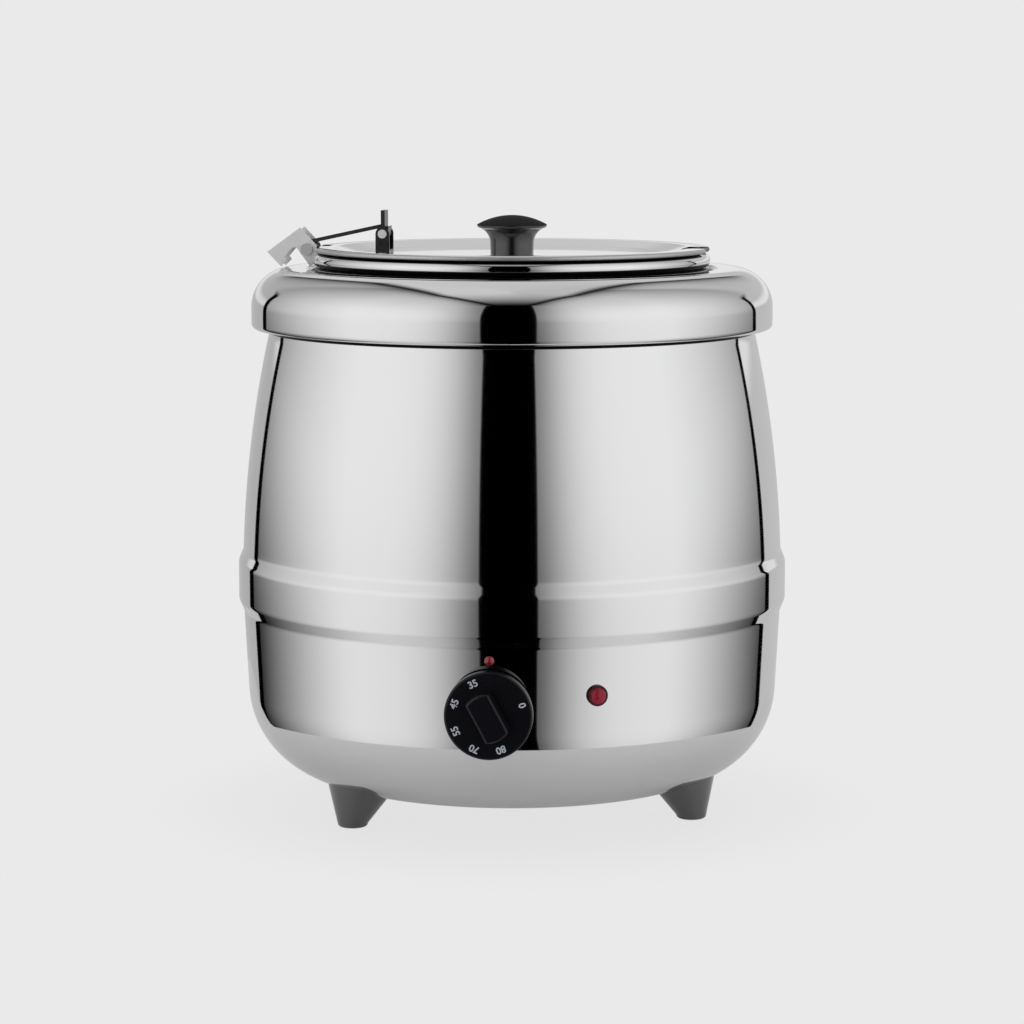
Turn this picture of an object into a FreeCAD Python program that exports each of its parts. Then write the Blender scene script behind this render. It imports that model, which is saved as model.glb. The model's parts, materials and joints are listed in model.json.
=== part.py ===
import FreeCAD, Part
import math
import os
from types import SimpleNamespace

import Sketcher
from FreeCAD import Placement, Rotation, Vector

# Soup kettle on three feet: a barrel-shaped jacket with a water well inside, a lift-out soup pot,
# a pot ring that carries a hinged lid, and a thermostat with its dial and lamp at the front.
# Millimetres and degrees. Z is up, Z = 0 is the table, the axis of the barrel is X = Y = 0, -Y is the front.
# A bearing is measured round the axis from the front, positive towards +X.

DIMENSIONS = {
    # Outer shell: its widest radius, then the heights and depths of its profile
    "rib_radius": 165.2,
    "floor_gap": 19.5,
    "skirt_taper": 5.2,
    "skirt_round": 56.0,
    "rib_foot": 121.5,
    "rib_foot_depth": 3.0,
    "rib_low": 128.5,
    "rib_high": 151.0,
    "rib_crown": 158.0,
    "rib_crown_depth": 2.9,
    "rib_round": 4.0,
    "barrel_curve": 700.0,
    "neck_inset": 18.6,
    "neck_foot": 284.0,
    "neck_top": 296.0,
    "sheet_wall": 0.8,
    "base_opening_radius": 88.0,
    # Top collar
    "collar_inset": 9.0,
    "collar_foot": 287.0,
    "collar_top": 326.5,
    "collar_shoulder_round": 23.0,
    "collar_foot_round": 7.0,
    "seat_height": 325.0,
    "seat_radius": 123.0,
    "mouth_radius": 115.0,
    "mouth_lip": 8.0,
    # Water well and soup pot
    "well_radius": 116.8,
    "well_floor": 51.2,
    "well_round": 18.0,
    "well_flange_radius": 121.5,
    "stud_radius": 3.0,
    "stud_foot": 28.0,
    "pot_radius": 111.5,
    "pot_floor": 64.0,
    "pot_round": 28.0,
    "pot_flange_radius": 118.0,
    "pot_gap": 0.3,
    # Pot ring: a rolled bead with an inner skirt
    "bead_centre_radius": 114.3,
    "bead_centre_height": 331.1,
    "bead_radius": 4.4,
    "ring_skirt_radius": 109.4,
    "ring_skirt_foot": 320.0,
    "ring_round": 1.2,
    # Lid, turned so that its hinge lies at the left rear
    "lid_turn": -14.0,
    "lid_gap": 0.3,
    "lid_radius": 118.4,
    "lid_rim_round": 1.5,
    "lid_hem_radius": 113.0,
    "lid_rim_inner": 106.0,
    "lid_panel_radius": 94.0,
    "lid_panel_drop": 3.5,
    "hinge_notch_root": 110.0,
    "hinge_notch_gap": 1.2,
    "ladle_notch_width": 26.0,
    "ladle_notch_root": 101.0,
    "lid_notch_round": 6.0,
    # Lid knob
    "knob_stem_radius": 13.0,
    "knob_stem_height": 5.5,
    "knob_flare_curve": 10.0,
    "knob_flare_radius": 20.3,
    "knob_flare_height": 15.1,
    "knob_rim_radius": 21.3,
    "knob_rim_height": 16.6,
    "knob_crown_height": 22.4,
    "knob_rim_round": 0.8,
    "knob_screw_radius": 2.4,
    "knob_screw_depth": 13.0,
    "knob_screw_head_radius": 4.6,
    "knob_screw_head": 2.6,
    # Lid hinge: pivot place, bracket plate in its own slanted frame, arm and clevis
    "pivot_reach": 123.7,
    "pivot_height": 336.8,
    "bracket_slant": 36.0,
    "bracket_wall": 1.5,
    "bracket_heel": 4.3,
    "bracket_length": 20.6,
    "bracket_rise": 12.9,
    "bracket_prong_width": 5.2,
    "bracket_prong_end": 1.0,
    "bracket_prong_slope": 1.6,
    "bracket_notch_top": 4.2,
    "bracket_notch_end": 7.4,
    "bracket_eye_radius": 6.0,
    "bracket_eye_drop": 4.873,
    "bracket_tongue": 9.5,
    "bracket_tongue_in": 3.5,
    "bracket_tongue_out": 4.5,
    "bracket_stop": 1.5,
    "hinge_pin_radius": 2.2,
    "hinge_pin_head_radius": 3.6,
    "hinge_pin_head": 1.5,
    "running_fit": 0.06,
    "arm_width": 12.0,
    "arm_side_gap": 0.35,
    "arm_knuckle_radius": 5.0,
    "arm_thick": 2.3,
    "arm_heel_rise": 3.1,
    "arm_toe_rise": 5.8,
    "arm_lug_radius": 3.4,
    "arm_tab_thick": 2.4,
    "arm_tab_top": 14.1,
    "clevis_reach": 77.5,
    "clevis_pin_height": 346.2,
    "clevis_pin_radius": 1.8,
    "clevis_pin_head_radius": 2.6,
    "clevis_pin_head": 1.2,
    "clevis_wall": 1.5,
    "clevis_width": 8.4,
    # Dial with its shaft
    "dial_bearing": -10.9,
    "dial_height": 85.0,
    "dial_radius": 25.0,
    "dial_standoff": 3.6,
    "dial_thick": 6.5,
    "dial_edge_round": 1.3,
    "dial_recess_radius": 21.5,
    "dial_recess": 3.5,
    "dial_boss_radius": 6.5,
    "dial_boss_recess": 1.5,
    "grip_width": 15.4,
    "grip_flat": 24.6,
    "grip_end_curve": 14.5,
    "grip_height": 9.0,
    "grip_draft": -4.0,
    "grip_round": 1.4,
    "grip_turn": 28.0,
    "shaft_radius": 3.0,
    "shaft_in_grip": 5.5,
    "shaft_depth": 14.4,
    # Thermostat behind the wall
    "thermostat_setback": 4.4,
    "thermostat_depth": 22.0,
    "thermostat_width": 36.0,
    "thermostat_tall": 34.0,
    "bush_radius": 4.9,
    "bush_proud": 4.2,
    "bush_nut_gap": 0.4,
    "bush_nut_thick": 2.8,
    "bush_nut_across": 14.0,
    "spade_wide": 6.3,
    "spade_thick": 0.8,
    "spade_long": 8.0,
    "bulb_radius": 3.0,
    "bulb_length": 70.0,
    "bulb_reach": 88.0,
    "bulb_height": 48.0,
    "capillary_radius": 0.9,
    "capillary_bend": 8.0,
    # Indicator lamp and index stud
    "lamp_bearing": 10.9,
    "lamp_height": 94.0,
    "lamp_flange_radius": 6.0,
    "lamp_gap": 0.5,
    "lamp_flange": 1.5,
    "lamp_dome_radius": 4.8,
    "lamp_rise": 4.5,
    "lamp_stem_radius": 4.4,
    "lamp_stem_depth": 7.8,
    "lamp_housing_length": 20.0,
    "lamp_clip_setback": 1.6,
    "lamp_clip_thick": 1.0,
    "lamp_clip_radius": 8.0,
    "index_height": 115.0,
    "index_radius": 2.75,
    "index_gap": 0.25,
    "index_rise": 1.8,
    "index_stem_radius": 1.5,
    "index_stem_depth": 3.9,
    # Heating under the well
    "heater_plate_radius": 80.0,
    "heater_plate_thick": 6.0,
    "element_ring_radius": 62.0,
    "element_radius": 4.0,
    "element_sweep": 320.0,
    "element_turn": 110.0,
    "element_pin_radius": 1.6,
    "element_pin_foot": 29.0,
    "clamp_length": 150.0,
    "clamp_width": 22.0,
    "clamp_thick": 2.0,
    "clamp_nut_across": 10.0,
    "clamp_nut_thick": 4.0,
    "cutout_reach": 30.0,
    "cutout_radius": 8.5,
    "cutout_cap": 5.0,
    "cutout_body_radius": 7.0,
    "cutout_body": 6.0,
    # Base plate, terminal block, feet and screws
    "base_plate_radius": 95.0,
    "base_plate_thick": 1.0,
    "base_screw_ring": 91.5,
    "base_screw_radius": 1.8,
    "base_screw_head_radius": 3.6,
    "base_screw_head": 2.2,
    "base_screw_tip": 26.0,
    "vent_inner": 40.0,
    "vent_outer": 78.0,
    "vent_width": 4.0,
    "vent_count": 12,
    "block_reach": 62.0,
    "block_length": 40.0,
    "block_depth": 18.0,
    "block_tall": 13.0,
    "block_bore": 2.4,
    "block_pitch": 12.0,
    "foot_ring": 117.0,
    "foot_tip_radius": 9.0,
    "foot_tip_round": 2.0,
    "foot_blank_height": 36.0,
    "foot_blank_radius": 24.7,
    "foot_lean": 9.0,
    "foot_screw_radius": 2.0,
    "foot_screw_tip": 9.0,
    "foot_screw_seat": 24.4,
    "foot_screw_head": 3.0,
    "foot_screw_head_radius": 4.4,
    # Cord gland at the back, left empty
    "gland_height": 80.0,
    "gland_bore": 4.0,
    "gland_thread_radius": 7.5,
    "gland_thread_depth": 11.1,
    "gland_gap": 0.8,
    "gland_flange_radius": 11.0,
    "gland_flange": 3.4,
    "gland_cap_radius": 9.5,
    "gland_length": 15.1,
    "gland_cap_round": 3.0,
    "gland_nut_setback": 2.5,
    "gland_nut_thick": 4.0,
    "gland_nut_across": 20.0,
    "hole_gap": 0.2,
}

REAR_BEARING = 180.0
FOOT_BEARINGS = {"foot_left": -60.0, "foot_right": 60.0, "foot_rear": 180.0}
BASE_SCREW_BEARINGS = (45.0, 135.0, 225.0, 315.0)
HEXAGON_SIDE = 0.57735
EASE_SHARE = 0.293
DOME = "dome"

doc = FreeCAD.newDocument("soup_kettle")
sheet = doc.addObject("Spreadsheet::Sheet", "Sizes")
for row, (alias, number) in enumerate(DIMENSIONS.items(), start=1):
    sheet.set(f"A{row}", alias)
    sheet.set(f"B{row}", str(number))
    sheet.setAlias(f"B{row}", alias)
doc.recompute()


class Size:
    """A driving dimension or a formula of several: its value now, and the same formula for the document."""

    def __init__(self, value, formula):
        self.value = value
        self.formula = formula

    def __add__(self, other):
        return Size(self.value + number_of(other), f"({self.formula} + {formula_of(other)})")

    def __radd__(self, other):
        return self + other

    def __sub__(self, other):
        return Size(self.value - number_of(other), f"({self.formula} - {formula_of(other)})")

    def __rsub__(self, other):
        return -self + other

    def __mul__(self, other):
        return Size(self.value * number_of(other), f"({self.formula} * {formula_of(other)})")

    def __rmul__(self, other):
        return self * other

    def __truediv__(self, other):
        return Size(self.value / number_of(other), f"({self.formula} / {formula_of(other)})")

    def __neg__(self):
        return Size(-self.value, f"(-{self.formula})")


def number_of(size):
    """The plain number of a size or of a number."""
    return size.value if isinstance(size, Size) else float(size)


def formula_of(size):
    """The document's formula of a size or of a number."""
    return size.formula if isinstance(size, Size) else repr(float(size))


d = SimpleNamespace(**{alias: Size(number, f"Sizes.{alias}") for alias, number in DIMENSIONS.items()})


# Shared steps


def bind(thing, path, size):
    """Tie one property of a document object to the sheet."""
    if isinstance(size, Size):
        thing.setExpression(path, size.formula)


def new_body(label, bearing=0.0):
    """An empty body, turned about the kettle's axis to its bearing."""
    body = doc.addObject("PartDesign::Body", label)
    body.Label = label
    body.Placement = Placement(Vector(), Rotation(Vector(0, 0, 1), number_of(bearing)))
    bind(body, "Placement.Rotation.Angle", bearing)
    return body


def new_sketch(body, name, plane, shift=(0, 0, 0), turn=0.0, turn_axis=(0, 0, 1)):
    """An empty sketch on one of the body's own planes, shifted and turned in that plane's frame."""
    sketch = body.newObject("Sketcher::SketchObject", name)
    support = next(f for f in body.Origin.OriginFeatures if f.Role == plane)
    sketch.AttachmentSupport = (support, [""])
    sketch.MapMode = "FlatFace"
    place = Vector(*(number_of(part) for part in shift))
    sketch.AttachmentOffset = Placement(place, Rotation(Vector(*turn_axis), number_of(turn)))
    for axis, part in zip("xyz", shift):
        bind(sketch, f"AttachmentOffset.Base.{axis}", part)
    bind(sketch, "AttachmentOffset.Rotation.Angle", turn)
    return sketch


def pin_point(sketch, geometry, end, across, up):
    """Fix a point of the sketch at its two coordinates."""
    for kind, axis, size in (("DistanceX", -2, across), ("DistanceY", -1, up)):
        if number_of(size) == 0 and not isinstance(size, Size):
            sketch.addConstraint(Sketcher.Constraint("PointOnObject", geometry, end, axis))
        else:
            index = sketch.addConstraint(Sketcher.Constraint(kind, -1, 1, geometry, end, number_of(size)))
            bind(sketch, f"Constraints[{index}]", size)


def arc_between(start, end, radius):
    """Short arc from start to end. A positive radius turns left on the way, a negative one right."""
    chord = end - start
    left = Vector(-chord.y, chord.x, 0).normalize()
    reach = math.copysign((radius ** 2 - chord.Length ** 2 / 4) ** 0.5, radius)
    centre = (start + end) * 0.5 + left * reach
    first, last = (start, end) if radius > 0 else (end, start)
    angles = [math.atan2(point.y - centre.y, point.x - centre.x) for point in (first, last)]
    return Part.ArcOfCircle(Part.Circle(centre, Vector(0, 0, 1), abs(radius)), *angles)


def dome_radius(start, end):
    """Radius of the arc that leaves start, has its centre on the upright axis and ends at the point on it."""
    rise = end.y - start.y
    return (start.x ** 2 + rise ** 2) / (2 * rise)


def outline(sketch, corners):
    """Closed outline. A corner is (across, up), or (across, up, radius or DOME) where an arc leaves it."""
    points = [Vector(number_of(c[0]), number_of(c[1]), 0) for c in corners]
    ends = []
    for index, corner in enumerate(corners):
        start = points[index]
        end = points[(index + 1) % len(points)]
        if len(corner) == 3:
            radius = dome_radius(start, end) if corner[2] == DOME else number_of(corner[2])
            sketch.addGeometry(arc_between(start, end, radius), False)
            ends.append((1, 2) if radius > 0 else (2, 1))
        else:
            sketch.addGeometry(Part.LineSegment(start, end), False)
            ends.append((1, 2))
    for index in range(len(corners)):
        following = (index + 1) % len(corners)
        joint = Sketcher.Constraint("Coincident", index, ends[index][1], following, ends[following][0])
        sketch.addConstraint(joint)
    for index, corner in enumerate(corners):
        pin_point(sketch, index, ends[index][0], corner[0], corner[1])
        if len(corner) == 3 and corner[2] == DOME:
            sketch.addConstraint(Sketcher.Constraint("PointOnObject", index, 3, -2))
        elif len(corner) == 3:
            radius = corner[2]
            bend = sketch.addConstraint(Sketcher.Constraint("Radius", index, abs(number_of(radius))))
            bind(sketch, f"Constraints[{bend}]", radius if number_of(radius) > 0 else -radius)
    return sketch


def circle(sketch, across, up, radius):
    """Circle about a point of the sketch."""
    centre = Vector(number_of(across), number_of(up), 0)
    index = sketch.addGeometry(Part.Circle(centre, Vector(0, 0, 1), number_of(radius)), False)
    pin_point(sketch, index, 3, across, up)
    bend = sketch.addConstraint(Sketcher.Constraint("Radius", index, number_of(radius)))
    bind(sketch, f"Constraints[{bend}]", radius)
    return sketch


def rectangle(sketch, left, right, low, high):
    """Upright rectangle between two sides and two levels."""
    return outline(sketch, [(left, low), (right, low), (right, high), (left, high)])


def hexagon(sketch, across_flats, up=0.0):
    """Hexagon about a point on the sketch's upright axis, two of its sides level."""
    half = across_flats / 2
    side = across_flats * HEXAGON_SIDE
    right = [(side / 2, up - half), (side, up), (side / 2, up + half)]
    left = [(-side / 2, up + half), (-side, up), (-side / 2, up - half)]
    return outline(sketch, right + left)


def swept_round(body, kind, name, sketch, angle=360.0):
    """Revolution or Groove of a sketch about its own upright axis."""
    feature = body.newObject(f"PartDesign::{kind}", name)
    feature.Profile = (sketch, [""])
    feature.ReferenceAxis = (sketch, ["V_Axis"])
    feature.Angle = number_of(angle)
    bind(feature, "Angle", angle)
    doc.recompute()
    return feature


def turned(body, name, corners, plane="XZ_Plane", shift=(0, 0, 0)):
    """Solid of revolution of an outline about the sketch's upright axis."""
    profile = outline(new_sketch(body, f"{name}_profile", plane, shift), corners)
    return swept_round(body, "Revolution", name, profile)


def grooved(body, name, corners, plane="XZ_Plane", shift=(0, 0, 0)):
    """Cut of revolution of an outline about the sketch's upright axis."""
    profile = outline(new_sketch(body, f"{name}_profile", plane, shift), corners)
    return swept_round(body, "Groove", name, profile)


def raised(body, name, sketch, length, both_ways=False, backwards=False, draft=None):
    """Pad of a sketch along its normal, or against it, or half to each side."""
    feature = body.newObject("PartDesign::Pad", name)
    feature.Profile = (sketch, [""])
    return drawn_out(feature, length, both_ways, backwards, draft)


def cut_out(body, name, sketch, length, both_ways=False, forwards=False):
    """Pocket of a sketch against its normal, or along it, or half to each side."""
    before = body.Shape.Volume
    feature = body.newObject("PartDesign::Pocket", name)
    feature.Profile = (sketch, [""])
    drawn_out(feature, length, both_ways, forwards, None)
    if not 0 < body.Shape.Volume < before:
        raise RuntimeError(f"{body.Label}: {name} cuts nothing or everything")
    return feature


def drawn_out(feature, length, both_ways, reverse, draft):
    """Length, side and draft of a pad or pocket."""
    feature.Length = number_of(length)
    bind(feature, "Length", length)
    feature.SideType = "Symmetric" if both_ways else "One side"
    feature.Reversed = reverse
    if draft is not None:
        feature.TaperAngle = number_of(draft)
        bind(feature, "TaperAngle", draft)
    doc.recompute()
    return feature


def rounded(body, name, radius, chosen):
    """Fillet of the edges that the test chooses on the body so far."""
    base = body.Tip
    edges = [f"Edge{n}" for n, edge in enumerate(base.Shape.Edges, start=1) if chosen(edge)]
    feature = body.newObject("PartDesign::Fillet", name)
    feature.Base = (base, edges)
    feature.Radius = number_of(radius)
    bind(feature, "Radius", radius)
    doc.recompute()
    return feature


def hollowed(body, name, wall, chosen):
    """Even wall kept inside the solid, open at the faces that the test chooses."""
    base = body.Tip
    faces = [f"Face{n}" for n, face in enumerate(base.Shape.Faces, start=1) if chosen(face)]
    feature = body.newObject("PartDesign::Thickness", name)
    feature.Base = (base, faces)
    feature.Reversed = True
    feature.Value = number_of(wall)
    bind(feature, "Value", wall)
    doc.recompute()
    return feature


def repeated(body, name, feature, count):
    """The feature in equal steps all round the upright axis."""
    pattern = body.newObject("PartDesign::PolarPattern", name)
    pattern.Originals = [feature]
    pattern.Axis = (next(f for f in body.Origin.OriginFeatures if f.Role == "Z_Axis"), [""])
    pattern.Angle = 360
    pattern.Occurrences = int(number_of(count))
    bind(pattern, "Occurrences", count)
    body.Tip = pattern
    doc.recompute()
    return pattern


def near(value, size):
    """Whether a measure of the solid is the given size."""
    return abs(value - number_of(size)) < 0.01


def ring_at(radius, height):
    """Test for a level circular edge of this radius at this height."""
    def chosen(edge):
        if edge.Degenerated or not isinstance(edge.Curve, Part.Circle):
            return False
        if not near(edge.Curve.Radius, radius):
            return False
        return near(edge.BoundBox.ZMin, height) and near(edge.BoundBox.ZMax, height)
    return chosen


def level_face_at(height):
    """Test for a flat level face at this height."""
    def chosen(face):
        return isinstance(face.Surface, Part.Plane) and near(face.BoundBox.ZMin, height) \
            and near(face.BoundBox.ZMax, height)
    return chosen


def hole_in_wall(body, name, bearing, height, radius):
    """Round hole through the barrel's wall at a bearing and height."""
    sketch = new_sketch(body, f"{name}_circle", "XZ_Plane", turn=bearing, turn_axis=(0, 1, 0))
    circle(sketch, 0, height, radius)
    cut_out(body, name, sketch, d.rib_radius, forwards=True)


def hole_in_floor(body, name, bearing, ring, radius, top):
    """Upright round hole from the table up to a level, on a ring about the axis at a bearing."""
    sketch = new_sketch(body, f"{name}_circle", "XY_Plane", turn=bearing)
    circle(sketch, 0, -ring, radius)
    cut_out(body, name, sketch, top, forwards=True)


def gathered(label, members):
    """One node of several separate solids."""
    group = doc.addObject("Part::Compound", label)
    group.Label = label
    group.Links = members
    doc.recompute()
    return group


# Jacket: every radius follows from the rib's


BELLY_RADIUS = d.rib_radius - d.rib_foot_depth
SKIRT_RADIUS = BELLY_RADIUS - d.skirt_taper
WAIST_RADIUS = d.rib_radius - d.rib_crown_depth
NECK_RADIUS = d.rib_radius - d.neck_inset
COLLAR_RADIUS = d.rib_radius - d.collar_inset


def wall_at(height):
    """Outer radius of the tapered skirt at a height, where the controls and the gland stand."""
    return SKIRT_RADIUS + d.skirt_taper * ((height - d.floor_gap) / (d.rib_foot - d.floor_gap))


def barrel(body):
    """The jacket's outer form: rounded foot, pressed rib and a bowed barrel that narrows to the neck."""
    turned(body, f"{body.Label}_form", [
        (0, d.floor_gap),
        (SKIRT_RADIUS, d.floor_gap),
        (BELLY_RADIUS, d.rib_foot),
        (d.rib_radius, d.rib_low),
        (d.rib_radius, d.rib_high),
        (WAIST_RADIUS, d.rib_crown, d.barrel_curve),
        (NECK_RADIUS, d.neck_foot),
        (NECK_RADIUS, d.neck_top),
        (0, d.neck_top),
    ])
    rounded(body, f"{body.Label}_foot_round", d.skirt_round, ring_at(SKIRT_RADIUS, d.floor_gap))
    return body


def outer_shell():
    """Polished jacket, one wall thick, open at the neck and under the floor, drilled for what it carries."""
    body = barrel(new_body("outer_shell"))
    corners = [ring_at(BELLY_RADIUS, d.rib_foot), ring_at(d.rib_radius, d.rib_low),
               ring_at(d.rib_radius, d.rib_high), ring_at(WAIST_RADIUS, d.rib_crown)]
    rounded(body, "rib_rounds", d.rib_round, lambda edge: any(corner(edge) for corner in corners))
    hollowed(body, "jacket_wall", d.sheet_wall, level_face_at(d.neck_top))
    opening = circle(new_sketch(body, "base_opening_circle", "XY_Plane"), 0, 0, d.base_opening_radius)
    cut_out(body, "base_opening", opening, d.floor_gap * 2, forwards=True)
    hole_in_wall(body, "bush_hole", d.dial_bearing, d.dial_height, d.bush_radius + d.hole_gap)
    hole_in_wall(body, "index_hole", d.dial_bearing, d.index_height, d.index_stem_radius + d.hole_gap)
    hole_in_wall(body, "lamp_hole", d.lamp_bearing, d.lamp_height, d.lamp_stem_radius + d.hole_gap)
    hole_in_wall(body, "gland_hole", REAR_BEARING, d.gland_height, d.gland_thread_radius + d.hole_gap)
    for number, bearing in enumerate(FOOT_BEARINGS.values(), start=1):
        hole_in_floor(body, f"foot_hole_{number}", bearing, d.foot_ring, d.foot_screw_radius + d.hole_gap,
                      d.foot_blank_height)
    for number, bearing in enumerate(BASE_SCREW_BEARINGS, start=1):
        hole_in_floor(body, f"base_hole_{number}", bearing, d.base_screw_ring,
                      d.base_screw_radius + d.hole_gap, d.base_screw_tip)
    return body


def top_collar():
    """Rolled collar that caps the jacket: round shoulder, stepped seat for the pot and turned-down lip."""
    body = new_body("top_collar")
    turned(body, "collar_form", [
        (d.mouth_radius, d.seat_height - d.mouth_lip),
        (NECK_RADIUS, d.collar_foot + d.mouth_lip),
        (NECK_RADIUS, d.collar_foot),
        (COLLAR_RADIUS, d.collar_foot),
        (COLLAR_RADIUS, d.collar_top),
        (d.seat_radius, d.collar_top),
        (d.seat_radius, d.seat_height),
        (d.mouth_radius, d.seat_height),
    ])
    rounded(body, "collar_shoulder", d.collar_shoulder_round, ring_at(COLLAR_RADIUS, d.collar_top))
    rounded(body, "collar_foot_roll", d.collar_foot_round, ring_at(COLLAR_RADIUS, d.collar_foot))
    hollowed(body, "collar_wall", d.sheet_wall, is_collar_opening)
    return body


def is_collar_opening(face):
    """Whether a face of the solid collar is one of the two that close it underneath."""
    surface = face.Surface
    return isinstance(surface, Part.Cone) or (
        isinstance(surface, Part.Cylinder) and near(surface.Radius, NECK_RADIUS))


def water_well():
    """Deep drawn well for the hot water, hung by its flange under the collar's seat, with a clamp stud."""
    body = new_body("water_well")
    top = d.seat_height - d.sheet_wall
    turned(body, "well_form", [
        (0, d.well_floor), (d.well_radius, d.well_floor), (d.well_radius, top), (0, top)])
    rounded(body, "well_corner", d.well_round, ring_at(d.well_radius, d.well_floor))
    hollowed(body, "well_wall", d.sheet_wall, level_face_at(top))
    flange(body, "well_flange", d.well_radius, d.well_flange_radius, top)
    stud = circle(new_sketch(body, "stud_circle", "XY_Plane", (0, 0, d.stud_foot)), 0, 0, d.stud_radius)
    raised(body, "clamp_stud", stud, d.well_floor - d.stud_foot)
    return body


def flange(body, name, wall_radius, outer_radius, top):
    """Flat turned-out edge round the mouth of a drawn vessel."""
    inner = wall_radius - d.sheet_wall / 2
    low = top - d.sheet_wall
    turned(body, name, [(inner, low), (outer_radius, low), (outer_radius, top), (inner, top)])


def base_plate():
    """Round plate that closes the floor, with radial vent slots and four screw holes."""
    body = new_body("base_plate")
    low = d.floor_gap - d.base_plate_thick
    disc = circle(new_sketch(body, "base_disc_circle", "XY_Plane", (0, 0, low)), 0, 0, d.base_plate_radius)
    raised(body, "base_disc", disc, d.base_plate_thick)
    half = d.vent_width / 2
    slot = outline(new_sketch(body, "vent_slot_outline", "XY_Plane"), [
        (d.vent_inner, -half), (d.vent_outer, -half), (d.vent_outer, half), (d.vent_inner, half)])
    vent = cut_out(body, "vent_slot", slot, d.floor_gap * 2, forwards=True)
    repeated(body, "vent_ring", vent, d.vent_count)
    for number, bearing in enumerate(BASE_SCREW_BEARINGS, start=1):
        hole_in_floor(body, f"plate_hole_{number}", bearing, d.base_screw_ring,
                      d.base_screw_radius + d.hole_gap, d.floor_gap * 2)
    return body


def upright_screw(label, bearing, ring, levels, radii):
    """Round-headed screw standing on a ring: levels are tip, seat and head end, radii are shank and head."""
    tip, seat, head = levels
    shank_radius, head_radius = radii
    body = new_body(label, bearing)
    sketch = new_sketch(body, f"{label}_profile", "XZ_Plane", (0, 0, ring))
    outline(sketch, [(0, tip), (shank_radius, tip), (shank_radius, seat),
                     (head_radius, seat), (head_radius, head), (0, head)])
    swept_round(body, "Revolution", f"{label}_form", sketch)
    return body


def base_screws():
    """Four screws that hold the base plate to the jacket's floor from below."""
    seat = d.floor_gap - d.base_plate_thick
    levels = (d.base_screw_tip, seat, seat - d.base_screw_head)
    radii = (d.base_screw_radius, d.base_screw_head_radius)
    return gathered("base_screws", [
        upright_screw(f"base_screw_{number}", bearing, d.base_screw_ring, levels, radii)
        for number, bearing in enumerate(BASE_SCREW_BEARINGS, start=1)])


def foot(label, bearing, jacket):
    """Tapered foot that leans outwards, its tip eased, its top shaped to the jacket, bored for its screw."""
    blank = new_body(f"{label}_blank", bearing)
    ease = d.foot_tip_round
    levels = [(0, 0, d.foot_tip_radius - ease),
              (ease * EASE_SHARE, 0, d.foot_tip_radius - ease * EASE_SHARE),
              (ease, 0, d.foot_tip_radius),
              (d.foot_blank_height, d.foot_lean, d.foot_blank_radius)]
    rings = []
    for number, (height, lean, radius) in enumerate(levels, start=1):
        ring = new_sketch(blank, f"{label}_ring_{number}", "XY_Plane", (0, 0, height))
        rings.append(circle(ring, 0, lean - d.foot_ring, radius))
    taper = blank.newObject("PartDesign::AdditiveLoft", f"{label}_taper")
    taper.Profile = (rings[0], [""])
    taper.Sections = [(ring, [""]) for ring in rings[1:]]
    taper.Ruled = True
    doc.recompute()
    bore = new_sketch(blank, f"{label}_bore_circle", "XY_Plane", (0, 0, d.foot_blank_height))
    circle(bore, 0, -d.foot_ring, d.foot_screw_radius)
    cut_out(blank, f"{label}_bore", bore, d.foot_blank_height - d.foot_screw_tip)
    shaped = doc.addObject("Part::Cut", label)
    shaped.Label = label
    shaped.Base = blank
    shaped.Tool = jacket
    doc.recompute()
    return shaped


def foot_screws():
    """Three screws driven from inside the jacket into the feet."""
    levels = (d.foot_screw_tip, d.foot_screw_seat, d.foot_screw_seat + d.foot_screw_head)
    radii = (d.foot_screw_radius, d.foot_screw_head_radius)
    return gathered("foot_screws", [
        upright_screw(f"foot_screw_{number}", bearing, d.foot_ring, levels, radii)
        for number, bearing in enumerate(FOOT_BEARINGS.values(), start=1)])


# Pot, ring and lid


def soup_pot():
    """Straight soup pot with a rounded floor, hung by its flange on the collar's seat."""
    body = new_body("soup_pot")
    top = d.seat_height + d.pot_gap + d.sheet_wall
    turned(body, "pot_form", [(0, d.pot_floor), (d.pot_radius, d.pot_floor), (d.pot_radius, top), (0, top)])
    rounded(body, "pot_corner", d.pot_round, ring_at(d.pot_radius, d.pot_floor))
    hollowed(body, "pot_wall", d.sheet_wall, level_face_at(top))
    flange(body, "pot_flange", d.pot_radius, d.pot_flange_radius, top)
    return body


def pot_ring():
    """Ring that sits on the pot's flange: an inner skirt, a flat top and a rolled bead, all one sheet."""
    body = new_body("pot_ring")
    centre = d.bead_centre_radius
    height = d.bead_centre_height
    inside = d.bead_radius - d.sheet_wall
    skirt_outer = d.ring_skirt_radius + d.sheet_wall
    turned(body, "ring_form", [
        (d.ring_skirt_radius, d.ring_skirt_foot),
        (d.ring_skirt_radius, height + d.bead_radius),
        (centre, height + d.bead_radius, -d.bead_radius),
        (centre + d.bead_radius, height, -d.bead_radius),
        (centre, height - d.bead_radius),
        (centre, height - inside, inside),
        (centre + inside, height, inside),
        (centre, height + inside),
        (skirt_outer, height + inside),
        (skirt_outer, d.ring_skirt_foot),
    ])
    rounded(body, "ring_mouth_round", d.ring_round, ring_at(d.ring_skirt_radius, height + d.bead_radius))
    return body


RING_TOP = d.bead_centre_height + d.bead_radius
CHEEK_GAP = d.arm_width + d.arm_side_gap * 2
CHEEK_SPAN = CHEEK_GAP + d.bracket_wall * 2
LID_FOOT = RING_TOP + d.lid_gap
LID_RIM = LID_FOOT + d.lid_rim_round * 2
LID_PANEL = LID_RIM - d.lid_panel_drop


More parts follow.
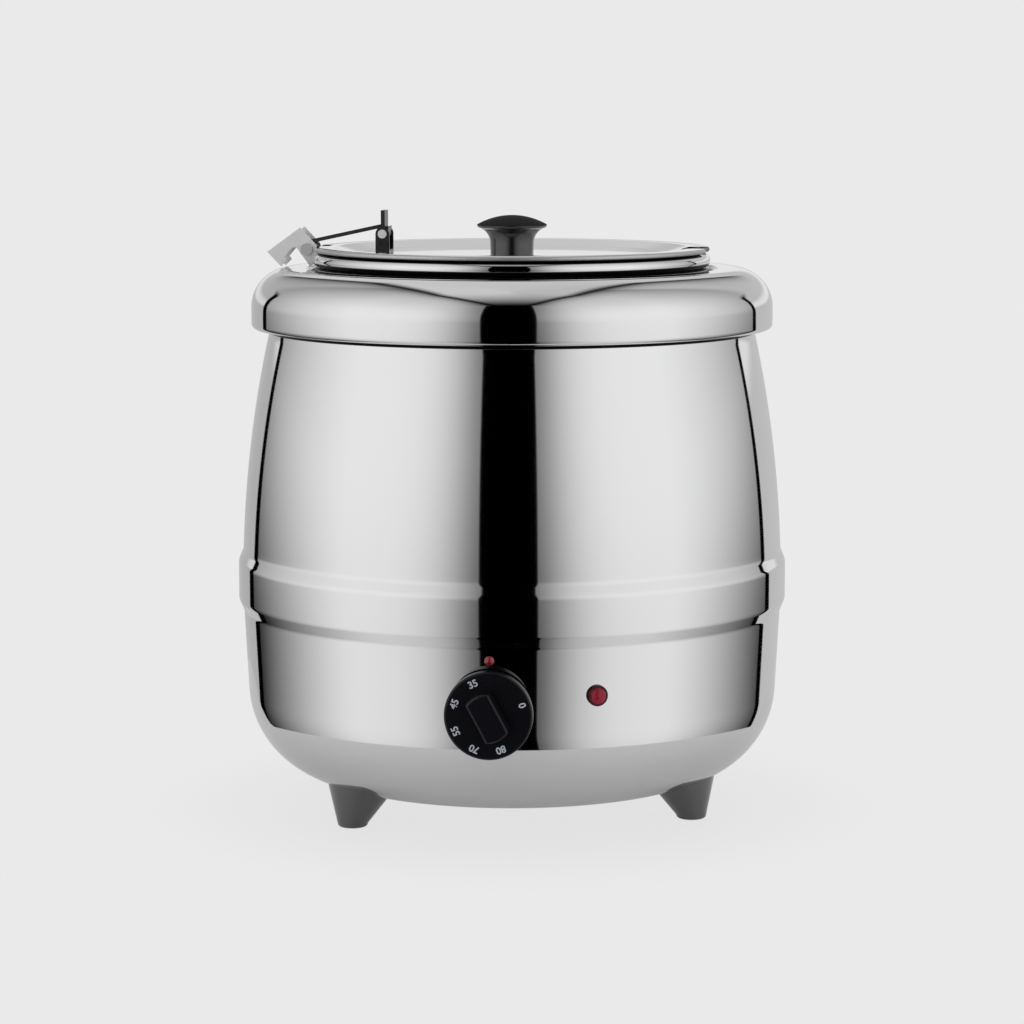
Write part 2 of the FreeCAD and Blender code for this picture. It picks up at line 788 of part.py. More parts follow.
def lid():
    """Pressed lid: sunk panel, rolled rim with an inward hem over the bead, notches for ladle and hinge."""
    body = new_body("lid", d.lid_turn)
    wall = d.sheet_wall
    rim_flat = d.lid_radius - d.lid_rim_round
    rim_middle = LID_FOOT + d.lid_rim_round
    inner_round = d.lid_rim_round - wall
    turned(body, "lid_form", [
        (d.knob_screw_radius, LID_PANEL - wall),
        (d.lid_panel_radius + wall / 2, LID_PANEL - wall),
        (d.lid_rim_inner + wall / 2, LID_RIM - wall),
        (rim_flat, LID_RIM - wall, -inner_round),
        (d.lid_radius - wall, rim_middle, -inner_round),
        (rim_flat, LID_FOOT + wall),
        (d.lid_hem_radius, LID_FOOT + wall),
        (d.lid_hem_radius, LID_FOOT),
        (rim_flat, LID_FOOT, d.lid_rim_round),
        (d.lid_radius, rim_middle, d.lid_rim_round),
        (rim_flat, LID_RIM),
        (d.lid_rim_inner, LID_RIM),
        (d.lid_panel_radius, LID_PANEL),
        (d.knob_screw_radius, LID_PANEL),
    ])
    rim_notch(body, "ladle_notch", 1, d.ladle_notch_root, d.ladle_notch_width / 2)
    rim_notch(body, "hinge_notch", -1, d.hinge_notch_root, CHEEK_SPAN / 2 + d.hinge_notch_gap)
    return body


def rim_notch(body, name, side, root, half):
    """Round-cornered notch through the lid's rim on its +X or -X side, from a root radius outwards."""
    bend = d.lid_notch_round
    outer = d.lid_radius + bend
    corners = [
        (root + bend, -half),
        (outer, -half),
        (outer, half),
        (root + bend, half, bend),
        (root, half - bend),
        (root, bend - half, bend),
    ]
    sketch = new_sketch(body, f"{name}_outline", "XY_Plane", (0, 0, RING_TOP))
    outline(sketch, [(across * side, up * side, *bends) for across, up, *bends in corners])
    cut_out(body, name, sketch, d.lid_rim_round * 4, forwards=True)


def lid_knob():
    """Round lifting knob: a straight stem that flares to a thin rim under a low crown."""
    body = new_body("lid_knob")
    base = LID_PANEL
    bore = d.knob_screw_radius
    turned(body, "knob_form", [
        (bore, base),
        (d.knob_stem_radius, base),
        (d.knob_stem_radius, base + d.knob_stem_height, -d.knob_flare_curve),
        (d.knob_flare_radius, base + d.knob_flare_height),
        (d.knob_rim_radius, base + d.knob_rim_height, DOME),
        (0, base + d.knob_crown_height),
        (0, base + d.knob_screw_depth),
        (bore, base + d.knob_screw_depth),
    ])
    rounded(body, "knob_rim_edge", d.knob_rim_round, ring_at(d.knob_rim_radius, base + d.knob_rim_height))
    return body


def lid_knob_screw():
    """Screw from under the lid that holds the knob."""
    under = LID_PANEL - d.sheet_wall
    body = new_body("lid_knob_screw")
    turned(body, "knob_screw_form", [
        (0, under - d.knob_screw_head),
        (d.knob_screw_head_radius, under - d.knob_screw_head),
        (d.knob_screw_head_radius, under),
        (d.knob_screw_radius, under),
        (d.knob_screw_radius, LID_PANEL + d.knob_screw_depth),
        (0, LID_PANEL + d.knob_screw_depth),
    ])
    return body


# Lid hinge: its frame has the hinge on -X, and the whole is turned with the lid


def hinge_bracket():
    """Two slanted cheeks with a prong over the collar, a web that stops the lid, and a coped foot."""
    blank = new_body("hinge_bracket_blank", d.lid_turn)
    frame = ((-d.pivot_reach, d.pivot_height, 0), d.bracket_slant)
    prong_in = d.bracket_length - d.bracket_prong_width - d.bracket_prong_slope
    cheeks = outline(new_sketch(blank, "cheek_outline", "XZ_Plane", *frame), [
        (d.bracket_heel, d.bracket_rise),
        (-d.bracket_length, d.bracket_rise),
        (d.bracket_prong_slope - d.bracket_length, d.bracket_prong_end),
        (-prong_in, d.bracket_prong_end + d.bracket_prong_slope / 2),
        (-prong_in, d.bracket_notch_top),
        (-d.bracket_notch_end, d.bracket_notch_top + d.bracket_prong_slope, -d.bracket_prong_slope * 2),
        (-d.bracket_tongue_out, d.bracket_notch_top),
        (-d.bracket_tongue_out, -d.bracket_tongue),
        (d.bracket_tongue_in, -d.bracket_tongue),
        (d.bracket_tongue_in, -d.bracket_eye_drop, d.bracket_eye_radius),
        (d.bracket_eye_radius, 0),
    ])
    raised(blank, "cheeks", cheeks, CHEEK_SPAN, both_ways=True)
    under_web = d.bracket_rise - d.bracket_wall
    beyond = d.bracket_length * 2
    channel = outline(new_sketch(blank, "channel_outline", "XZ_Plane", *frame), [
        (beyond, beyond),
        (-d.bracket_stop, beyond),
        (-d.bracket_stop, under_web),
        (-beyond, under_web),
        (-beyond, -beyond),
        (beyond, -beyond),
    ])
    cut_out(blank, "channel", channel, CHEEK_GAP, both_ways=True)
    bore = circle(new_sketch(blank, "pivot_bore_circle", "XZ_Plane", *frame), 0, 0, d.hinge_pin_radius)
    cut_out(blank, "pivot_bore", bore, CHEEK_SPAN * 2, both_ways=True)
    bead = doc.addObject("Part::Torus", "bead_envelope")
    bead.Radius1 = d.bead_centre_radius.value
    bead.Radius2 = d.bead_radius.value
    bead.Placement = Placement(Vector(0, 0, d.bead_centre_height.value), Rotation())
    bind(bead, "Radius1", d.bead_centre_radius)
    bind(bead, "Radius2", d.bead_radius)
    bind(bead, "Placement.Base.z", d.bead_centre_height)
    coped = doc.addObject("Part::Cut", "hinge_bracket")
    coped.Label = "hinge_bracket"
    coped.Base = blank
    coped.Tool = bead
    doc.recompute()
    return coped


def cross_pin(label, reach, height, span, radii, head):
    """Headed pin along the hinge's axis at a reach and height: radii are shank and head."""
    shank, head_radius = radii
    half = span / 2
    body = new_body(label, d.lid_turn)
    turned(body, f"{label}_form", [
        (0, -half - head),
        (head_radius, -half - head),
        (head_radius, -half),
        (shank, -half),
        (shank, half),
        (head_radius, half),
        (head_radius, half + head),
        (0, half + head),
    ], "XY_Plane", (-reach, 0, height))
    return body


def hinge_pin():
    """Pin on which the lid arm turns, riveted through both cheeks."""
    radii = (d.hinge_pin_radius, d.hinge_pin_head_radius)
    return cross_pin("hinge_pin", d.pivot_reach, d.pivot_height, CHEEK_SPAN, radii, d.hinge_pin_head)


def clevis_pin():
    """Pin that joins the arm to the lid's clevis."""
    radii = (d.clevis_pin_radius, d.clevis_pin_head_radius)
    span = CHEEK_GAP + d.clevis_wall * 2
    return cross_pin("clevis_pin", d.clevis_reach, d.clevis_pin_height, span, radii, d.clevis_pin_head)


def lid_arm():
    """Flat bar from the hinge knuckle to the clevis, with a lug round its pin and an upright thumb tab."""
    body = new_body("lid_arm", d.lid_turn)
    heel = d.pivot_height + d.arm_heel_rise
    toe = d.clevis_pin_height + d.arm_toe_rise
    tab_out = -d.clevis_reach - d.arm_tab_thick / 2
    tab_in = d.arm_tab_thick / 2 - d.clevis_reach
    tab_top = d.clevis_pin_height + d.arm_tab_top
    bar = outline(new_sketch(body, "bar_outline", "XZ_Plane"), [
        (-d.pivot_reach, heel),
        (tab_out, toe - d.arm_thick),
        (tab_in, toe - d.arm_thick),
        (tab_in, tab_top),
        (tab_out, tab_top),
        (tab_out, toe),
        (-d.pivot_reach, heel + d.arm_thick),
    ])
    raised(body, "bar", bar, d.arm_width, both_ways=True)
    knuckle = new_sketch(body, "knuckle_circle", "XZ_Plane")
    circle(knuckle, -d.pivot_reach, d.pivot_height, d.arm_knuckle_radius)
    raised(body, "knuckle", knuckle, d.arm_width, both_ways=True)
    lug_half = d.arm_lug_radius
    lug = outline(new_sketch(body, "lug_outline", "XZ_Plane"), [
        (-d.clevis_reach - lug_half, d.clevis_pin_height, lug_half),
        (-d.clevis_reach, d.clevis_pin_height - lug_half, lug_half),
        (-d.clevis_reach + lug_half, d.clevis_pin_height),
        (-d.clevis_reach + lug_half, toe - d.arm_thick / 2),
        (-d.clevis_reach - lug_half, toe - d.arm_thick),
    ])
    raised(body, "lug", lug, d.arm_width, both_ways=True)
    bores = new_sketch(body, "arm_bore_circles", "XZ_Plane")
    circle(bores, -d.pivot_reach, d.pivot_height, d.hinge_pin_radius + d.running_fit)
    circle(bores, -d.clevis_reach, d.clevis_pin_height, d.clevis_pin_radius + d.running_fit)
    cut_out(body, "arm_bores", bores, d.arm_width * 2, both_ways=True)
    return body


def lid_clevis():
    """Folded clevis on the lid's panel: a base and two round-topped ears with the pin's holes."""
    body = new_body("lid_clevis", d.lid_turn)
    inner = CHEEK_GAP / 2
    outer = inner + d.clevis_wall
    floor = LID_PANEL + d.clevis_wall
    ear_top = d.clevis_pin_height + d.clevis_width / 2
    fold = outline(new_sketch(body, "fold_outline", "YZ_Plane", (0, 0, -d.clevis_reach)), [
        (-outer, LID_PANEL), (outer, LID_PANEL), (outer, ear_top), (inner, ear_top),
        (inner, floor), (-inner, floor), (-inner, ear_top), (-outer, ear_top),
    ])
    raised(body, "fold", fold, d.clevis_width, both_ways=True)

    def is_ear_top(edge):
        box = edge.BoundBox
        return near(box.ZMin, ear_top) and box.XLength < box.YLength

    rounded(body, "ear_rounds", d.clevis_width / 2 - d.running_fit, is_ear_top)
    bore = circle(new_sketch(body, "clevis_bore_circle", "XZ_Plane"),
                  -d.clevis_reach, d.clevis_pin_height, d.clevis_pin_radius)
    cut_out(body, "clevis_bore", bore, outer * 4, both_ways=True)
    return body


# Front controls: each is drawn at the front, stands off the skirt's wall and is turned to its bearing


DIAL_WALL = wall_at(d.dial_height)
DIAL_BACK = DIAL_WALL + d.dial_standoff
DIAL_FACE = DIAL_BACK + d.dial_thick
GRIP_FACE = DIAL_FACE + d.grip_height
SHAFT_TIP = DIAL_FACE + d.shaft_in_grip
SHAFT_ROOT = DIAL_WALL - d.shaft_depth
THERMOSTAT_FRONT = DIAL_WALL - d.thermostat_setback
BUSH_TIP = DIAL_WALL + d.bush_proud
BUSH_NUT_BACK = DIAL_WALL + d.bush_nut_gap
LAMP_WALL = wall_at(d.lamp_height)
LAMP_BACK = LAMP_WALL + d.lamp_gap
LAMP_TIP = LAMP_BACK + d.lamp_rise
LAMP_STEM_ROOT = LAMP_WALL - d.lamp_stem_depth
LAMP_TAIL = LAMP_STEM_ROOT - d.lamp_housing_length
LAMP_CLIP_FRONT = LAMP_WALL - d.lamp_clip_setback
INDEX_WALL = wall_at(d.index_height)
INDEX_BACK = INDEX_WALL + d.index_gap
INDEX_TIP = INDEX_BACK + d.index_rise
INDEX_STEM_ROOT = INDEX_WALL - d.index_stem_depth
GLAND_WALL = wall_at(d.gland_height)
GLAND_ROOT = GLAND_WALL - d.gland_thread_depth
GLAND_BACK = GLAND_WALL + d.gland_gap
GLAND_TIP = GLAND_BACK + d.gland_length
GLAND_NUT_FRONT = GLAND_WALL - d.gland_nut_setback


def dial_knob():
    """Moulded dial: a flat round skirt hollow at the back and a drafted grip with two flats."""
    body = new_body("dial_knob", d.dial_bearing)
    at_dial = (0, 0, d.dial_height)
    bend = d.dial_edge_round
    turned(body, "dial_skirt", [
        (0, -DIAL_BACK),
        (0, -DIAL_FACE),
        (d.dial_radius - bend, -DIAL_FACE, bend),
        (d.dial_radius, bend - DIAL_FACE),
        (d.dial_radius, -DIAL_BACK),
    ], "XY_Plane", at_dial)
    half = d.grip_width / 2
    run = d.grip_flat / 2
    grip = outline(new_sketch(body, "grip_outline", "XZ_Plane", (0, d.dial_height, DIAL_FACE), d.grip_turn), [
        (half, -run),
        (half, run, d.grip_end_curve),
        (-half, run),
        (-half, -run, d.grip_end_curve),
    ])
    raised(body, "grip", grip, GRIP_FACE - DIAL_FACE, draft=d.grip_draft)
    rounded(body, "grip_edge", d.grip_round, lambda edge: near(edge.BoundBox.YMax, -GRIP_FACE))
    deep = -DIAL_BACK - d.dial_recess
    shallow = -DIAL_BACK - d.dial_boss_recess
    grooved(body, "dial_recess", [
        (0, -DIAL_BACK),
        (d.dial_recess_radius, -DIAL_BACK),
        (d.dial_recess_radius, deep),
        (d.dial_boss_radius, deep),
        (d.dial_boss_radius, shallow),
        (0, shallow),
    ], "XY_Plane", at_dial)
    socket = circle(new_sketch(body, "shaft_socket_circle", "XZ_Plane", (0, 0, DIAL_BACK)),
                    0, d.dial_height, d.shaft_radius)
    cut_out(body, "shaft_socket", socket, SHAFT_TIP - DIAL_BACK, forwards=True)
    return body


def front_turning(label, bearing, height, corners):
    """Body turned about a level axis at a bearing and height: corners are (radius, distance out)."""
    body = new_body(label, bearing)
    outward = [(corner[0], -corner[1], *corner[2:]) for corner in corners]
    turned(body, f"{label}_form", outward, "XY_Plane", (0, 0, height))
    return body


def front_nut(label, bearing, height, back, thick, across, bore):
    """Hexagon nut about a level axis, from its inner face outwards."""
    body = new_body(label, bearing)
    sketch = hexagon(new_sketch(body, f"{label}_hexagon", "XZ_Plane", (0, 0, back)), across, height)
    circle(sketch, 0, height, bore)
    raised(body, f"{label}_form", sketch, thick)
    return body


def thermostat_shaft():
    """Shaft that carries the dial, running in the thermostat's bush."""
    return front_turning("thermostat_shaft", d.dial_bearing, d.dial_height, [
        (0, SHAFT_ROOT), (d.shaft_radius, SHAFT_ROOT), (d.shaft_radius, SHAFT_TIP), (0, SHAFT_TIP)])


def thermostat_body():
    """Thermostat switch: a case with a threaded bush for the shaft and two spade terminals at its back."""
    body = new_body("thermostat_body", d.dial_bearing)
    half = d.thermostat_width / 2
    rise = d.thermostat_tall / 2
    case = new_sketch(body, "case_outline", "XZ_Plane", (0, 0, THERMOSTAT_FRONT))
    rectangle(case, -half, half, d.dial_height - rise, d.dial_height + rise)
    raised(body, "case", case, d.thermostat_depth, backwards=True)
    bush = new_sketch(body, "bush_circle", "XZ_Plane", (0, 0, THERMOSTAT_FRONT))
    circle(bush, 0, d.dial_height, d.bush_radius)
    raised(body, "bush", bush, BUSH_TIP - THERMOSTAT_FRONT)
    bore = new_sketch(body, "bush_bore_circle", "XZ_Plane", (0, 0, BUSH_TIP))
    circle(bore, 0, d.dial_height, d.shaft_radius + d.running_fit)
    cut_out(body, "bush_bore", bore, BUSH_TIP - SHAFT_ROOT + d.hole_gap)
    rear = THERMOSTAT_FRONT - d.thermostat_depth
    for name, side in (("spade_left", -1), ("spade_right", 1)):
        spade = new_sketch(body, f"{name}_outline", "XZ_Plane", (0, 0, rear))
        middle = half * side / 2
        rectangle(spade, middle - d.spade_thick / 2, middle + d.spade_thick / 2,
                  d.dial_height - d.spade_wide / 2, d.dial_height + d.spade_wide / 2)
        raised(body, name, spade, d.spade_long, backwards=True)
    return body


def thermostat_nut():
    """Nut on the bush that clamps the thermostat to the jacket, hidden under the dial."""
    return front_nut("thermostat_nut", d.dial_bearing, d.dial_height, BUSH_NUT_BACK, d.bush_nut_thick,
                     d.bush_nut_across, d.bush_radius)


def lamp_lens():
    """Red lamp cap: a flange against the jacket, a low dome and a stem through the wall."""
    flange_face = LAMP_BACK + d.lamp_flange
    return front_turning("lamp_lens", d.lamp_bearing, d.lamp_height, [
        (0, LAMP_STEM_ROOT),
        (d.lamp_stem_radius, LAMP_STEM_ROOT),
        (d.lamp_stem_radius, LAMP_BACK),
        (d.lamp_flange_radius, LAMP_BACK),
        (d.lamp_flange_radius, flange_face),
        (d.lamp_dome_radius, flange_face, DOME),
        (0, LAMP_TIP),
    ])


def lamp_housing():
    """Lamp holder behind the cap."""
    return front_turning("lamp_housing", d.lamp_bearing, d.lamp_height, [
        (0, LAMP_TAIL), (d.lamp_stem_radius, LAMP_TAIL),
        (d.lamp_stem_radius, LAMP_STEM_ROOT), (0, LAMP_STEM_ROOT)])


def lamp_clip():
    """Push-on ring that keeps the lamp in its hole."""
    rear = LAMP_CLIP_FRONT - d.lamp_clip_thick
    return front_turning("lamp_clip", d.lamp_bearing, d.lamp_height, [
        (d.lamp_stem_radius, rear), (d.lamp_clip_radius, rear),
        (d.lamp_clip_radius, LAMP_CLIP_FRONT), (d.lamp_stem_radius, LAMP_CLIP_FRONT)])


def index_stud():
    """Small domed stud above the dial that its figures are set against."""
    return front_turning("index_stud", d.dial_bearing, d.index_height, [
        (0, INDEX_STEM_ROOT),
        (d.index_stem_radius, INDEX_STEM_ROOT),
        (d.index_stem_radius, INDEX_BACK),
        (d.index_radius, INDEX_BACK, DOME),
        (0, INDEX_TIP),
    ])


def cable_gland():
    """Cord gland at the lower back: thread through the wall, flange and rounded cap, with an open bore."""
    bend = d.gland_cap_round
    flange_face = GLAND_BACK + d.gland_flange
    return front_turning("cable_gland", REAR_BEARING, d.gland_height, [
        (d.gland_bore, GLAND_ROOT),
        (d.gland_thread_radius, GLAND_ROOT),
        (d.gland_thread_radius, GLAND_BACK),
        (d.gland_flange_radius, GLAND_BACK),
        (d.gland_flange_radius, flange_face),
        (d.gland_cap_radius, flange_face),
        (d.gland_cap_radius, GLAND_TIP - bend, -bend),
        (d.gland_cap_radius - bend, GLAND_TIP),
        (d.gland_bore, GLAND_TIP),
    ])


def gland_nut():
    """Nut inside the jacket that holds the cord gland."""
    return front_nut("gland_nut", REAR_BEARING, d.gland_height, GLAND_NUT_FRONT - d.gland_nut_thick,
                     d.gland_nut_thick, d.gland_nut_across, d.gland_thread_radius)


# Heating under the well


PLATE_FOOT = d.well_floor - d.heater_plate_thick
ELEMENT_HEIGHT = PLATE_FOOT - d.element_radius
CLAMP_TOP = ELEMENT_HEIGHT - d.element_radius - d.hole_gap / 2


def heater_plate():
    """Aluminium disc that spreads the element's heat over the well's floor."""
    body = new_body("heater_plate")
    inner = d.stud_radius + d.hole_gap
    turned(body, "heater_plate_form", [
        (inner, PLATE_FOOT), (d.heater_plate_radius, PLATE_FOOT),
        (d.heater_plate_radius, d.well_floor), (inner, d.well_floor)])
    return body


def heating_element():
    """Tubular element bent to an open ring, with a terminal pin down from each end."""
    body = new_body("heating_element", d.element_turn)
    tube = new_sketch(body, "tube_circle", "XZ_Plane")
    circle(tube, d.element_ring_radius, ELEMENT_HEIGHT - d.hole_gap / 4, d.element_radius)
    swept_round(body, "Revolution", "tube_ring", tube, d.element_sweep)
    length = ELEMENT_HEIGHT - d.element_pin_foot
    for name, angle in (("first_pin", 0.0), ("second_pin", d.element_sweep)):
        pin = new_sketch(body, f"{name}_circle", "XY_Plane", (0, 0, d.element_pin_foot), angle)
        circle(pin, d.element_ring_radius, 0, d.element_pin_radius)
        raised(body, name, pin, length)
    return body


def clamp_bar():
    """Flat bar that presses the element and its plate up against the well."""
    body = new_body("clamp_bar")
    half = d.clamp_length / 2
    side = d.clamp_width / 2
    sketch = new_sketch(body, "clamp_outline", "XY_Plane", (0, 0, CLAMP_TOP - d.clamp_thick))
    rectangle(sketch, -half, half, -side, side)
    circle(sketch, 0, 0, d.stud_radius + d.hole_gap)
    raised(body, "clamp_form", sketch, d.clamp_thick)
    return body


def clamp_nut():
    """Nut on the well's stud under the clamp bar."""
    body = new_body("clamp_nut")
    low = CLAMP_TOP - d.clamp_thick - d.clamp_nut_thick
    sketch = hexagon(new_sketch(body, "clamp_nut_hexagon", "XY_Plane", (0, 0, low)), d.clamp_nut_across)
    circle(sketch, 0, 0, d.stud_radius)
    raised(body, "clamp_nut_form", sketch, d.clamp_nut_thick)
    return body


def thermal_cutout():
    """Disc cut-out that opens if the well boils dry, flat against the heater plate."""
    body = new_body("thermal_cutout")
    shoulder = PLATE_FOOT - d.cutout_cap
    foot_level = shoulder - d.cutout_body
    sketch = new_sketch(body, "cutout_profile", "XZ_Plane", (0, 0, d.cutout_reach))
    outline(sketch, [(0, foot_level), (d.cutout_body_radius, foot_level), (d.cutout_body_radius, shoulder),
                     (d.cutout_radius, shoulder), (d.cutout_radius, PLATE_FOOT), (0, PLATE_FOOT)])
    swept_round(body, "Revolution", "cutout_form", sketch)
    return body


def terminal_block():
    """Three-way terminal block on the base plate, bored through for the wires."""
    body = new_body("terminal_block")
    half = d.block_length / 2
    low = d.floor_gap
    near_face = d.block_reach + d.block_depth / 2
    sketch = new_sketch(body, "block_outline", "XZ_Plane", (0, 0, near_face))
    rectangle(sketch, -half, half, low, low + d.block_tall)
    raised(body, "block", sketch, d.block_depth, backwards=True)
    bores = new_sketch(body, "block_bore_circles", "XZ_Plane", (0, 0, near_face))
    for step in (-1, 0, 1):
        circle(bores, d.block_pitch * step if step else 0, low + d.block_tall / 2, d.block_bore)
    cut_out(body, "block_bores", bores, d.block_depth)
    return body


def bent_path(points, bend):
    """Wire of straight runs through the points, with a tangent arc of one radius at each corner."""
    edges = []
    start = points[0]
    for before, corner, after in zip(points, points[1:], points[2:]):
        inward = (before - corner).normalize()
        outward = (after - corner).normalize()
        setback = bend / math.tan(inward.getAngle(outward) / 2)
        middle = (inward + outward).normalize()
        first = corner + inward * setback
        last = corner + outward * setback
        crown = corner + middle * (math.hypot(bend, setback) - bend)
        edges.append(Part.LineSegment(start, first).toShape())
        edges.append(Part.Arc(first, crown, last).toShape())
        start = last
    edges.append(Part.LineSegment(start, points[-1]).toShape())
    return Part.Wire(edges)


def thermostat_bulb():
    """Sensing bulb under the edge of the well's floor and the capillary from it to the thermostat's case."""
    half = d.bulb_length.value / 2
    bulb_end = Vector(-half, -d.bulb_reach.value, d.bulb_height.value)
    case_foot = d.dial_height.value - d.thermostat_tall.value / 2
    case_middle = THERMOSTAT_FRONT.value - d.thermostat_depth.value / 2
    loop = d.capillary_bend.value * 2
    run = Vector(-loop, 0, 0)
    outer = Vector(bulb_end.x - loop, loop - case_middle, bulb_end.z)
    below = Vector(0, -case_middle, bulb_end.z)
    points = [bulb_end, bulb_end + run, outer, below, Vector(0, -case_middle, case_foot)]
    path = bent_path(points, d.capillary_bend.value)
    section = Part.Wire(Part.makeCircle(d.capillary_radius.value, bulb_end, run))
    capillary = path.makePipeShell([section], True, False)
    bulb = Part.makeCylinder(d.bulb_radius.value, d.bulb_length.value, bulb_end, Vector(1, 0, 0))
    node = doc.addObject("Part::Feature", "thermostat_bulb")
    node.Label = "thermostat_bulb"
    node.Shape = bulb.fuse(capillary).removeSplitter()
    node.Placement = Placement(Vector(), Rotation(Vector(0, 0, 1), d.dial_bearing.value))
    bind(node, "Placement.Rotation.Angle", d.dial_bearing)
    return node


# The whole assembly, checked and written out


def build():
    """Every node of the kettle, outside first."""
    jacket = barrel(new_body("jacket_envelope"))
    nodes = [outer_shell(), top_collar(), water_well(), base_plate(), base_screws()]
    nodes += [foot(label, bearing, jacket) for label, bearing in FOOT_BEARINGS.items()]
    nodes += [foot_screws(), soup_pot(), pot_ring(), hinge_bracket(), hinge_pin(), lid_arm(), lid(),
              lid_clevis(), clevis_pin(), lid_knob(), lid_knob_screw(), dial_knob(), thermostat_shaft(),
              thermostat_body(), thermostat_nut(), thermostat_bulb(), lamp_lens(), lamp_housing(),
              lamp_clip(), index_stud(), cable_gland(), gland_nut(), heater_plate(), heating_element(),
              clamp_bar(), clamp_nut(), thermal_cutout(), terminal_block()]
    doc.recompute()
    return nodes


def write_out(nodes):
    """Stop on any faulty object, then write each node to its own file."""
    for thing in doc.Objects:
        if "Invalid" in thing.State or "Error" in thing.State:
            raise RuntimeError(f"{thing.Label}: {thing.State}")
    os.makedirs("parts", exist_ok=True)
    for node in nodes:
        if node.Shape.isNull() or not node.Shape.isValid() or not node.Shape.Solids:
            raise RuntimeError(f"{node.Label}: no sound solid")
        node.Shape.exportStep(f"parts/{node.Label}.step")


write_out(build())
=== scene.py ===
import json
import math

import bpy
import numpy as np
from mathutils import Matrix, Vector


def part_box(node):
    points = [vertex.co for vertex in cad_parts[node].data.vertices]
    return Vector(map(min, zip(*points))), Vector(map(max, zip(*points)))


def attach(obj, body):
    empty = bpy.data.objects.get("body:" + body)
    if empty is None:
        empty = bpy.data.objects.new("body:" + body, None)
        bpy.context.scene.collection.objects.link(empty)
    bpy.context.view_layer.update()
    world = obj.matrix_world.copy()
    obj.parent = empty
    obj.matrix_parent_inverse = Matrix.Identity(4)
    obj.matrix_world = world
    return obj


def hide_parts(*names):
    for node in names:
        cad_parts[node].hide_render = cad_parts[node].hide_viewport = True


# Soup kettle in a pale studio. Lengths are millimetres until a mesh is made; the scene is in metres.
# Z is up, the barrel's axis is X = Y = 0, and -Y is the front between dial and lamp.

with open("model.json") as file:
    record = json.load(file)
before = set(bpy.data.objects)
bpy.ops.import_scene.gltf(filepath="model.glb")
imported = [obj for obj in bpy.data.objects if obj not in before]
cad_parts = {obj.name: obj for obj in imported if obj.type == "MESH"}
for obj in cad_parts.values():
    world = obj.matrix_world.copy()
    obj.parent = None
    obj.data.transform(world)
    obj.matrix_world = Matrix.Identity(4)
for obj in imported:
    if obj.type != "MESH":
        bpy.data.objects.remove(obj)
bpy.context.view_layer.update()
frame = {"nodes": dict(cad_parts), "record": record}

MM = 0.001
SEGMENTS = 300
ARC_STEP = math.radians(4.0)
CREASE = math.radians(35.0)
NEARLY_STRAIGHT = 0.01
DEGREE = math.degrees(1)

WALL = 0.8
CAMERA_BEARING = math.radians(-6.4)
PALE = 0.8227


def box_of(node):
    """Lowest and highest corner of a node of the frame at rest, in millimetres."""
    return tuple(np.array(corner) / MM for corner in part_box(node))


SHELL_LOW, SHELL_HIGH = box_of("outer_shell")
COLLAR_LOW, COLLAR_HIGH = box_of("top_collar")
RING_LOW, RING_HIGH = box_of("pot_ring")
_, LID_HIGH = box_of("lid")
KNOB_LOW, KNOB_HIGH = box_of("lid_knob")
LAMP_LOW, LAMP_HIGH = box_of("lamp_lens")
DIAL_LOW, DIAL_HIGH = box_of("dial_knob")
RIB_RADIUS = SHELL_HIGH[0]
NECK_RADIUS = RIB_RADIUS - 19.7
SEAT_RADIUS = 123.0
BEAD_MIDDLE = 114.3
BEAD_HEIGHT = RING_HIGH[2] - (RING_HIGH[0] - BEAD_MIDDLE)
COLLAR_LIFT = 3.7
COLLAR_FOOT = COLLAR_LOW[2] + COLLAR_LIFT
LID_RIM = LID_HIGH[2]
LID_FOOT = LID_RIM - 3.0
LAMP_BEARING = 10.9
LAMP_HEIGHT = (LAMP_LOW[2] + LAMP_HIGH[2]) / 2
LAMP_RADIUS = 6.0


# Profiles


def arc_points(start, end, radius, count):
    """Points on the circle of the given radius, bowed to the right of the way from start to end."""
    start = np.array(start, float)
    end = np.array(end, float)
    chord = end - start
    length = np.hypot(*chord)
    left = np.array([-chord[1], chord[0]]) / length
    centre = (start + end) / 2 + left * math.sqrt(radius ** 2 - length ** 2 / 4)
    first, last = (math.atan2(*(point - centre)[::-1]) for point in (start, end))
    turn = np.linspace(first, first + (last - first + math.pi) % (2 * math.pi) - math.pi, count)
    return centre + radius * np.column_stack([np.cos(turn), np.sin(turn)])


def rounded_path(corners):
    """Path through corners (across, up, round): each corner with a round is replaced by its tangent arc."""
    points = [np.array(corner[:2], float) for corner in corners]
    path = [points[0]]
    for index in range(1, len(points) - 1):
        corner = points[index]
        radius = corners[index][2] if len(corners[index]) > 2 else 0.0
        inward = points[index - 1] - corner
        outward = points[index + 1] - corner
        inward /= np.hypot(*inward)
        outward /= np.hypot(*outward)
        half = math.acos(np.clip(inward @ outward, -1, 1)) / 2
        if radius == 0 or half > math.pi / 2 - NEARLY_STRAIGHT:
            path.append(corner)
            continue
        setback = radius / math.tan(half)
        bisector = (inward + outward) / np.hypot(*(inward + outward))
        centre = corner + bisector * radius / math.sin(half)
        start, end = (corner + side * setback - centre for side in (inward, outward))
        sweep = math.pi - 2 * half
        steps = max(2, math.ceil(sweep / ARC_STEP))
        sense = math.copysign(1, start[0] * end[1] - start[1] * end[0])
        for turn in np.linspace(0, sweep, steps + 1) * sense:
            path.append(centre + np.array([start[0] * math.cos(turn) - start[1] * math.sin(turn),
                                           start[0] * math.sin(turn) + start[1] * math.cos(turn)]))
    path.append(points[-1])
    return np.array(path)


def rolled_edge(middle, radius, step):
    """Half circle about a middle, from its top round the outside to its bottom, a step of degrees apart."""
    turn = np.radians(np.arange(90.0, -91.0, -step))
    return np.array(middle) + radius * np.column_stack([np.cos(turn), np.sin(turn)])


